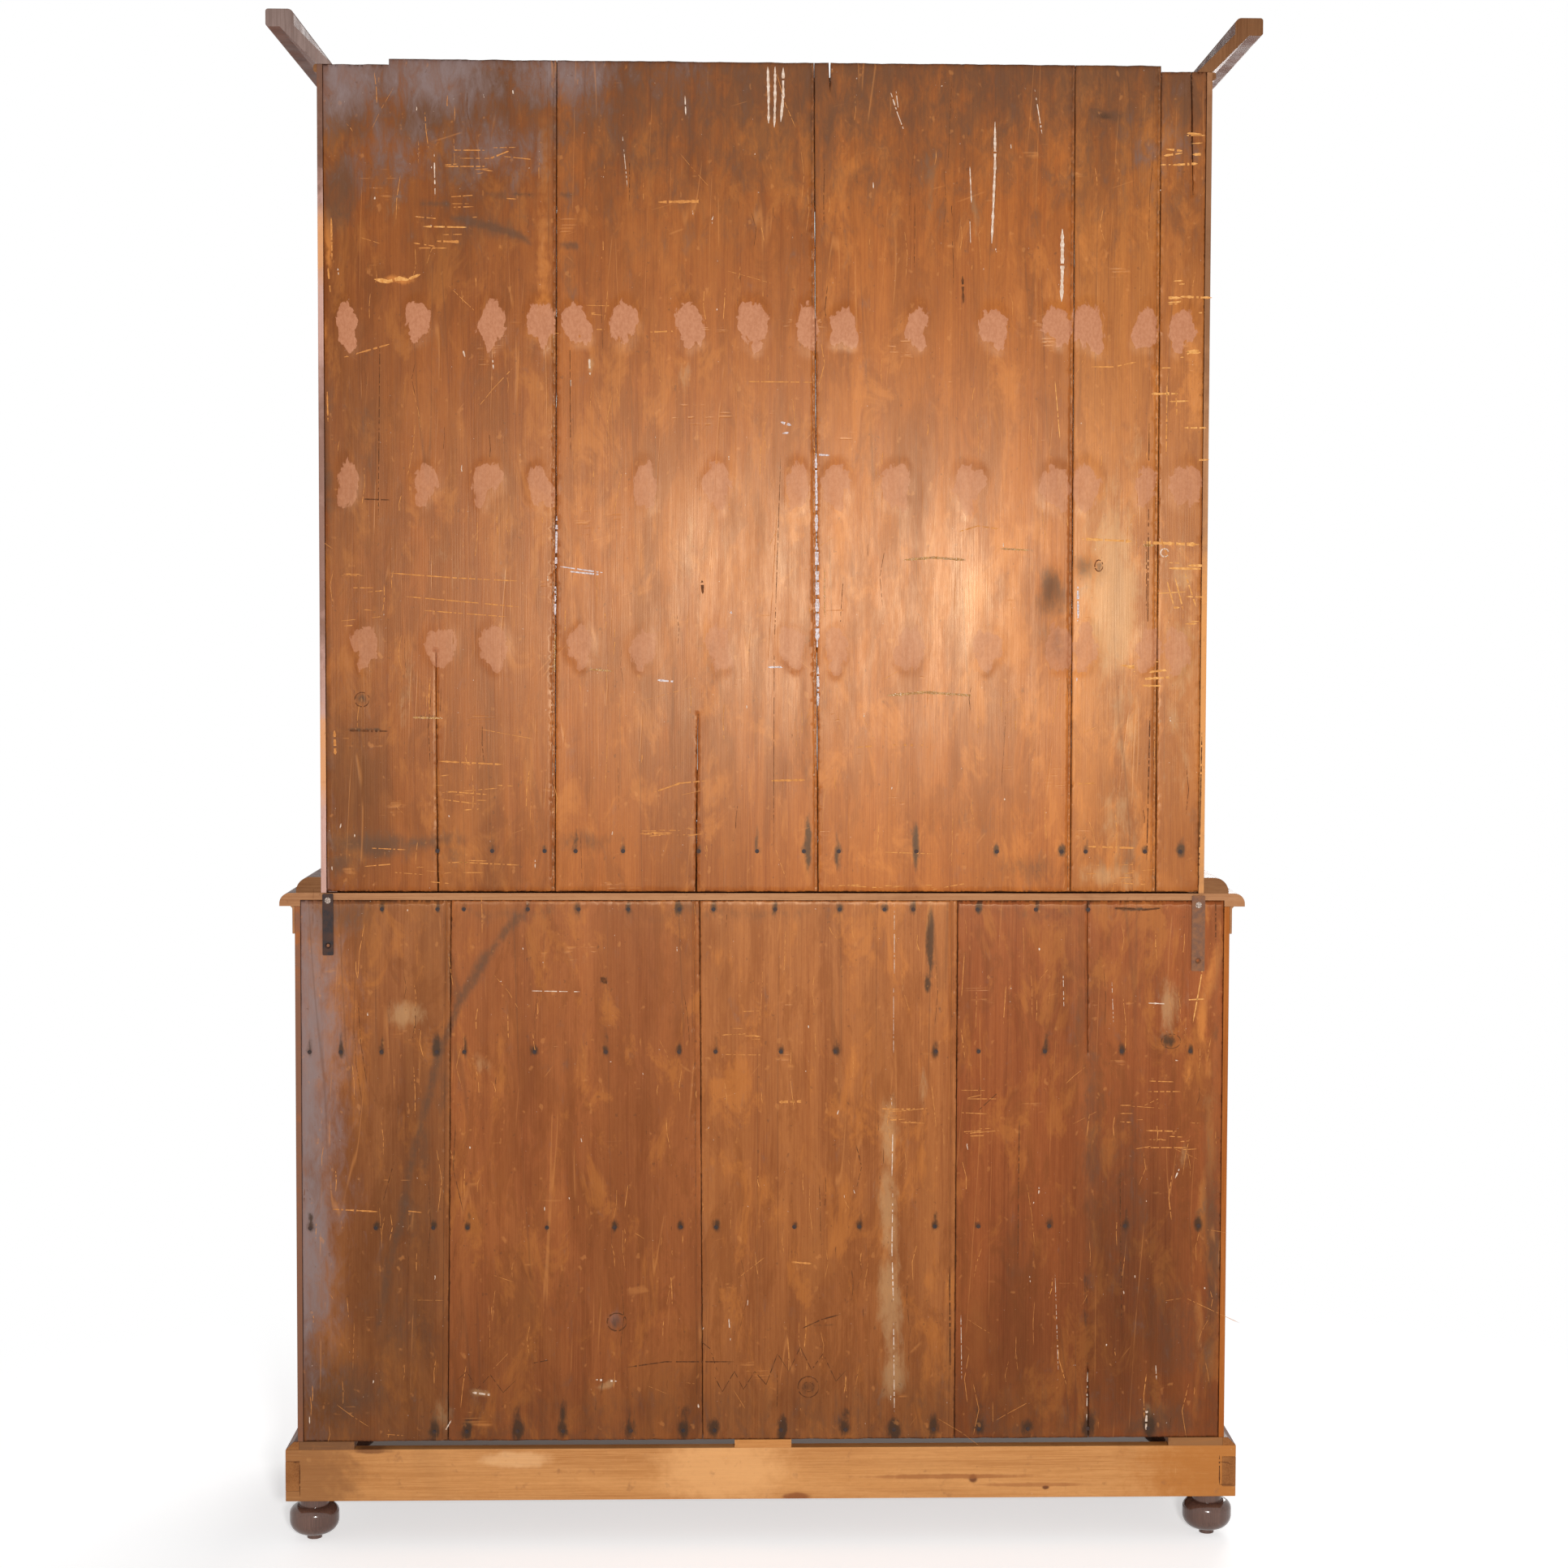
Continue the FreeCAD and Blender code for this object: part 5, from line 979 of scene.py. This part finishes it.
# Painted highlights: glints of light on the glue along the seams, drawn as pale glossy strokes
GLINTS = [
    (3.0, 1005, 556, 1006, 600, 1006, 660), (4.2, 1006, 664, 1007, 720, 1007, 800),
    (2.6, 1008, 820, 1008, 870), (2.0, 1004, 560, 1022, 561), (2.4, 686, 636, 685, 700),
    (2.0, 684, 720, 684, 760), (3.0, 962, 520, 975, 524), (2.4, 964, 534, 972, 533),
    (2.4, 810, 838, 832, 840), (2.0, 946, 822, 966, 822), (4.0, 898, 752, 902, 756),
    (1.4, 690, 698, 745, 706), (2.0, 700, 704, 740, 708), (2.4, 1328, 720, 1329, 790),
    (1.6, 1326, 800, 1327, 840), (1.8, 1331, 786, 1350, 796),
]
WHITE_MARKS = [
    (1.2, 1097, 112, 1106, 140, 1115, 164), (0.9, 1104, 112, 1107, 135), (1.1, 1275, 110, 1284, 165),
    (0.8, 1195, 270, 1196, 300), (1.3, 535, 190, 536, 240), (1.3, 844, 118, 845, 142),
    (0.8, 767, 168, 773, 230), (0.6, 1102, 1112, 1102, 1200), (0.5, 1101, 1215, 1101, 1300),
    (1.0, 1100, 1395, 1099, 1450), (1.2, 1100, 1470, 1099, 1540, 1101, 1610), (1.0, 1101, 1630, 1102, 1740),
    (2.4, 726, 440, 727, 462), (1.6, 606, 430, 608, 455), (1.6, 570, 430, 573, 440),
    (1.0, 1030, 1378, 1034, 1366), (0.8, 870, 1396, 874, 1388), (1.4, 898, 1625, 900, 1652),
    (1.0, 1340, 1690, 1339, 1750), (2.4, 1413, 1736, 1412, 1762), (1.0, 1424, 1680, 1425, 1700),
    (0.9, 655, 1221, 715, 1222), (1.6, 1415, 1236, 1440, 1237), (1.4, 1445, 1306, 1452, 1307),
    (0.6, 1300, 1570, 1304, 1690), (0.6, 1184, 1620, 1185, 1700), (2.4, 734, 1700, 760, 1702),
    (2.6, 582, 1716, 606, 1719), (1.8, 1448, 1452, 1454, 1438), (0.7, 1310, 1200, 1311, 1245),
    (0.6, 1370, 1210, 1372, 1260), (1.4, 556, 1750, 548, 1764),
]
GLUE = [
    (3.0, 1113, 690, 1150, 687, 1190, 690), (3.4, 1093, 857, 1140, 853, 1197, 857),
    (2.0, 1232, 676, 1268, 678), (3.0, 1401, 672, 1422, 672), (2.2, 717, 824, 755, 827),
    (2.4, 508, 884, 545, 885), (1.0, 1016, 700, 1016, 760), (1.6, 684, 780, 683, 830),
]
DARK_MARKS = [
    (2.6, 428, 900, 478, 901), (1.6, 448, 615, 480, 616), (2.2, 1373, 1119, 1400, 1120),
    (2.2, 1402, 1122, 1430, 1119), (1.4, 988, 1637, 1012, 1626, 1034, 1620), (5.0, 740, 1204, 748, 1212),
    (1.4, 655, 1680, 676, 1676), (1.4, 1498, 1112, 1498, 1160), (1.0, 1408, 270, 1409, 500),
    (1.1, 1416, 520, 1414, 800), (1.2, 1417, 880, 1413, 1060), (1.4, 1481, 900, 1477, 1090),
    (1.0, 472, 1480, 486, 1430), (1.5, 772, 1685, 820, 1678, 905, 1678),
    (1.0, 876, 1688, 890, 1715, 905, 1690, 916, 1712, 930, 1690, 944, 1706, 958, 1668, 972, 1690),
    (1.0, 972, 1690, 986, 1660, 1000, 1688, 1014, 1668, 1030, 1702, 1043, 1688),
    (0.9, 562, 1702, 575, 1690, 588, 1712, 604, 1694, 620, 1716, 636, 1700),
    (0.9, 860, 1650, 875, 1662, 884, 1690), (0.9, 1206, 1368, 1230, 1346), (0.8, 702, 400, 703, 560),
    (1.0, 468, 420, 466, 640), (1.2, 1380, 1440, 1382, 1640), (1.0, 1256, 1380, 1254, 1560),
    (1.6, 1170, 1560, 1171, 1690), (1.3, 1502.5, 1793, 1502.5, 1829), (1.0, 1502.5, 1829, 1519, 1829),
    (0.9, 1503, 1801, 1512, 1802, 1518, 1805), (1.5, 361, 1802, 370, 1801), (0.8, 369.5, 1802, 369.5, 1844),
    (2.6, 1186, 340, 1187, 374), (3.4, 865, 715, 866, 732), (0.7, 962, 560, 954, 800, 953, 1050),
]
BRIGHT_MARKS = [
    (4.6, 461, 344, 478, 347, 492, 343, 504, 345), (3.4, 503, 344, 518, 338), (3.2, 1333, 664, 1395, 667),
    (3.6, 1397, 668, 1478, 671), (2.4, 1440, 700, 1480, 701), (1.6, 1448, 712, 1458, 752),
    (1.6, 1460, 706, 1474, 748), (1.4, 1438, 716, 1446, 745), (1.0, 1300, 470, 1306, 540),
    (2.6, 1381, 820, 1418, 822), (1.8, 521, 279, 575, 280), (1.4, 1470, 1260, 1478, 1216, 1484, 1180),
    (1.6, 1462, 1232, 1484, 1231),
]
PALE_MARKS = [
    (3.4, 811, 249, 866, 248), (1.4, 1182, 655, 1205, 648, 1232, 652), (2.0, 408, 268, 409, 320),
    (1.8, 404, 330, 407, 360), (1.6, 403, 480, 404, 520), (1.3, 917, 470, 1003, 471),
    (1.8, 1345, 452, 1372, 452, 1400, 446), (3.0, 538, 297, 568, 298), (1.4, 548, 205, 600, 205),
    (1.6, 604, 195, 627, 186), (1.8, 424, 440, 480, 424), (2.0, 801, 409, 835, 408),
    (1.6, 1430, 662, 1440, 690), (1.6, 1350, 965, 1325, 966), (1.8, 1055, 921, 1077, 919),
    (2.2, 1098, 918, 1138, 918), (2.6, 950, 962, 992, 961), (1.8, 806, 976, 838, 965, 870, 962),
    (1.4, 480, 706, 560, 712, 640, 716), (1.2, 500, 735, 600, 744, 640, 748), (1.0, 520, 752, 625, 760),
    (1.8, 540, 938, 620, 942), (1.4, 550, 975, 600, 979), (1.2, 545, 985, 592, 991),
    (1.2, 456, 1045, 500, 1047), (1.2, 560, 1062, 640, 1066), (1.3, 1090, 1050, 1150, 1052),
    (2.2, 1340, 1043, 1400, 1045), (1.2, 1020, 1092, 1060, 1090), (1.2, 1380, 1088, 1412, 1090),
    (1.6, 1438, 472, 1437, 562), (1.6, 1449, 482, 1450, 512), (3.0, 412, 900, 413, 930),
    (1.6, 1108, 1367, 1130, 1366), (1.6, 1086, 1366, 1104, 1367), (1.6, 1096, 1380, 1116, 1379),
    (3.0, 960, 1358, 990, 1357), (2.0, 975, 1555, 1000, 1557), (1.8, 410, 1490, 465, 1493),
    (1.4, 500, 1492, 520, 1494), (1.0, 1380, 1362, 1396, 1362), (1.0, 1380, 1372, 1396, 1372),
    (1.0, 1380, 1382, 1394, 1383), (1.6, 1412, 1393, 1450, 1394), (1.0, 1416, 1404, 1444, 1405),
    (1.2, 1410, 1414, 1462, 1414), (1.2, 1416, 1332, 1446, 1333), (1.2, 1414, 1345, 1455, 1345),
]
# Knots and a ring: width of the line, x, y, reach across and down
KNOTS = [
    (1.6, 760, 1629, 12, 11), (1.4, 996, 1709, 13, 13), (1.0, 996, 1709, 7, 6), (1.0, 1443, 1283, 12, 9),
    (1.2, 446, 862, 9, 9), (1.4, 1354, 697, 5, 7),
]
WHITE_RING = (1.4, 1435, 681, 5, 5)
# Boxes of the picture (x0, y0, x1, y1) with scattered scratches
WHOLE = [(402, 90, 1478, 1092), (375, 1112, 1500, 1770)]
GROUPS = [
    (520, 240, 640, 320), (540, 180, 640, 215), (1100, 1360, 1130, 1385), (1395, 1330, 1475, 1420),
    (540, 930, 630, 1000), (450, 1060, 640, 1090), (690, 360, 760, 420), (1195, 1340, 1215, 1400),
    (790, 1020, 860, 1030), (1340, 1060, 1410, 1096), (420, 700, 470, 800), (1050, 1090, 1180, 1096),
    (900, 1240, 940, 1300),
]
LADDERS = [
    (1436, 160, 1478, 210), (1440, 345, 1480, 400), (1434, 430, 1480, 590), (1440, 690, 1478, 790),
    (1390, 810, 1430, 850),
]
MATT = {"scale": 160, "Specular_IOR_Level": 0.15, "Specular_Tint": GOLD}


def ring(width, x, y, across, down):
    turns = [math.tau * i / 14 for i in range(15)]
    points = [(x + across * math.cos(turn), y + down * math.sin(turn)) for turn in turns]
    return (width, *(v for point in points for v in point))


def scattered(count, boxes, turn, spread, lengths, widths):
    """Seeded scratches inside boxes, turned from the upright."""
    made = []
    for x0, y0, x1, y1 in boxes:
        for _ in range(count):
            x, y = rng.uniform(x0, x1), rng.uniform(y0, y1)
            angle = math.radians(rng.normal(turn, spread))
            length = rng.uniform(*lengths) * (0.4 + rng.random())
            dx, dy = math.sin(angle) * length / 2, math.cos(angle) * length / 2
            bow = rng.normal(0, 0.05) * length * math.cos(angle)
            made.append((rng.uniform(*widths), x - dx, y - dy, x + bow, y, x + dx, y + dy))
    return made


def draw_strokes():
    pale = PALE_MARKS + scattered(150, WHOLE, 0, 5, (14, 60), (0.35, 0.9))
    pale += scattered(32, WHOLE, 60, 60, (14, 60), (0.3, 0.7))
    pale += scattered(9, GROUPS, 90, 4, (12, 34), (0.5, 1.2))
    bright = BRIGHT_MARKS + scattered(8, LADDERS, 90, 4, (16, 36), (0.8, 2.8))
    white = WHITE_MARKS + [ring(*WHITE_RING)] + scattered(40, WHOLE, 0, 8, (2, 9), (0.8, 1.6))
    dark = DARK_MARKS + scattered(45, WHOLE, 0, 3, (10, 90), (0.3, 0.8)) + [ring(*knot) for knot in KNOTS]
    pale_wood = plain("scratched_pine", (0.41, 0.15, 0.038), (0.6, 0.25, 0.068), 0.5, **MATT)
    raw_wood = plain("raw_pine", (0.51, 0.205, 0.05), (0.71, 0.355, 0.115), 0.5, **MATT)
    whitewash = plain("old_whitewash", (0.5, 0.34, 0.24), (0.7, 0.57, 0.47), 0.6, **MATT)
    # Painted highlights: the glints of light on the glue along the seams
    painted_glints = plain("painted_glints", (0.42, 0.3, 0.28), (0.68, 0.6, 0.6), 0.2, 300, 0.9)
    scars = plain("dark_scars", (0.07, 0.024, 0.01), (0.15, 0.05, 0.018), 0.6, **MATT)
    old_glue = plain("old_glue", (0.3, 0.12, 0.02), (0.42, 0.19, 0.03), 0.16, 200, 0.9)
    strokes("pale_scratches", pale, pale_wood, -0.28)
    strokes("bright_scratches", bright, raw_wood, -0.35)
    strokes("white_marks", white, whitewash)
    strokes("white_drips", DRIPS, whitewash, -0.6)
    strokes("glue_glints", GLINTS, painted_glints, -0.25)
    strokes("dark_marks", dark, scars, -0.3)
    strokes("glue_runs", GLUE, old_glue, -2)


# The studio


WORLD_LIGHT = 0.3
FLOOR_GLOW = 0.5
# The floor's painted shadow under the buffet: where it fades out across, the middle of its band from front to
# back, and where it fades out from that middle
UNDER_HALF = (0.68, 0.72)
UNDER_MIDDLE = 0.17
UNDER_REACH = (0.12, 0.2)
LAMPS = (
    ("key", (-0.3, 4.3, 1.38), (-0.05, 0.24, 1.25), 0.3, 125),
    ("front_fill", (-1.5, -4.5, 2.6), (0, 0, 1.1), 2.5, 120),
)


def seen_rays(tree):
    """1 for the rays that show the background: to the camera, in gloss and through glass."""
    path = tree.nodes.new("ShaderNodeLightPath").outputs
    rays = path["Is Camera Ray"]
    for kind in ("Is Glossy Ray", "Is Transmission Ray"):
        either = tree.nodes.new("ShaderNodeMath")
        either.operation = "MAXIMUM"
        tree.links.new(rays, either.inputs[0])
        tree.links.new(path[kind], either.inputs[1])
        rays = either.outputs[0]
    return rays


def camera():
    scene = bpy.context.scene
    scene.view_settings.view_transform = "Standard"
    data = bpy.data.cameras.new("camera")
    data.lens, data.sensor_width = LENS, SENSOR
    data.shift_x, data.shift_y = SHIFT
    data.clip_start, data.clip_end = 0.05, 60
    scene.camera = bpy.data.objects.new("camera", data)
    scene.camera.location = CAMERA_PLACE
    scene.camera.rotation_euler = CAMERA_TURN
    scene.collection.objects.link(scene.camera)


def background():
    """White for the rays that show it, and a dimmer light on the object."""
    world = bpy.data.worlds.new("studio")
    bpy.context.scene.world = world
    world.use_nodes = True
    tree = world.node_tree
    mix = tree.nodes.new("ShaderNodeMixShader")
    tree.links.new(seen_rays(tree), mix.inputs[0])
    shown = tree.nodes.new("ShaderNodeBackground")
    for number, (node, strength) in enumerate(((tree.nodes["Background"], WORLD_LIGHT), (shown, 1.0))):
        node.inputs["Color"].default_value = (1, 1, 1, 1)
        node.inputs["Strength"].default_value = strength
        tree.links.new(node.outputs[0], mix.inputs[number + 1])
    tree.links.new(mix.outputs[0], tree.nodes["World Output"].inputs["Surface"])


def lamps():
    for name, place, aim, size, power in LAMPS:
        lamp = bpy.data.lights.new(name, "AREA")
        lamp.size = size
        lamp.energy = power
        thing = bpy.data.objects.new(name, lamp)
        thing.location = place
        thing.rotation_euler = (Vector(aim) - Vector(place)).to_track_quat("-Z", "Y").to_euler()
        bpy.context.scene.collection.objects.link(thing)


def ground():
    """A white floor with a painted shadow under the buffet, where it is dark and doesn't glow. Farther out it
    glows as white as the background.
    """
    bpy.ops.mesh.primitive_circle_add(vertices=96, radius=30, fill_type="NGON")
    floor = bpy.context.object
    floor.name = "floor"
    paint = Paint("pale_floor")
    local = paint.place(paint.where, (1.0, 1.5, 1.0))
    reach = paint.put("VectorMath", {0: local}, operation="LENGTH").outputs["Value"]
    far = paint.steps(reach, 0.85, 1.9)
    split = paint.put("SeparateXYZ", {0: paint.where}).outputs
    # Painted shadow: under the buffet the floor is painted dark brown and kept from glowing
    inside_x = paint.steps(paint.math("ABSOLUTE", split["X"]), *UNDER_HALF, 1.0, 0.0)
    from_middle = paint.math("ABSOLUTE", paint.plus(split["Y"], UNDER_MIDDLE))
    under = paint.times(inside_x, paint.steps(from_middle, *UNDER_REACH, 1.0, 0.0))
    lift = paint.times(paint.minus(1.0, under), seen_rays(paint.tree))
    glow = paint.put("Emission", {"Color": (1, 1, 1), "Strength": 1.0}).outputs[0]
    cloudy = paint.steps(paint.noise((3, 3, 3)), 0.2, 0.8, 0.84, 0.88)
    shade = paint.mix(under, paint.grey(cloudy), (0.13, 0.09, 0.07))
    paint.finish(shade, 0.8, Emission_Color=(1, 1, 1), Emission_Strength=paint.times(lift, FLOOR_GLOW))
    both = paint.put("MixShader", {0: far, 1: paint.surface.outputs[0], 2: glow})
    paint.join(paint.tree.nodes["Material Output"].inputs["Surface"], both.outputs[0])
    floor.data.materials.append(paint.material)


dress()
brighten_screws()
heads = nail_heads()
for case in CASES:
    make_back(case, heads)
draw_strokes()
camera()
background()
lamps()
ground()
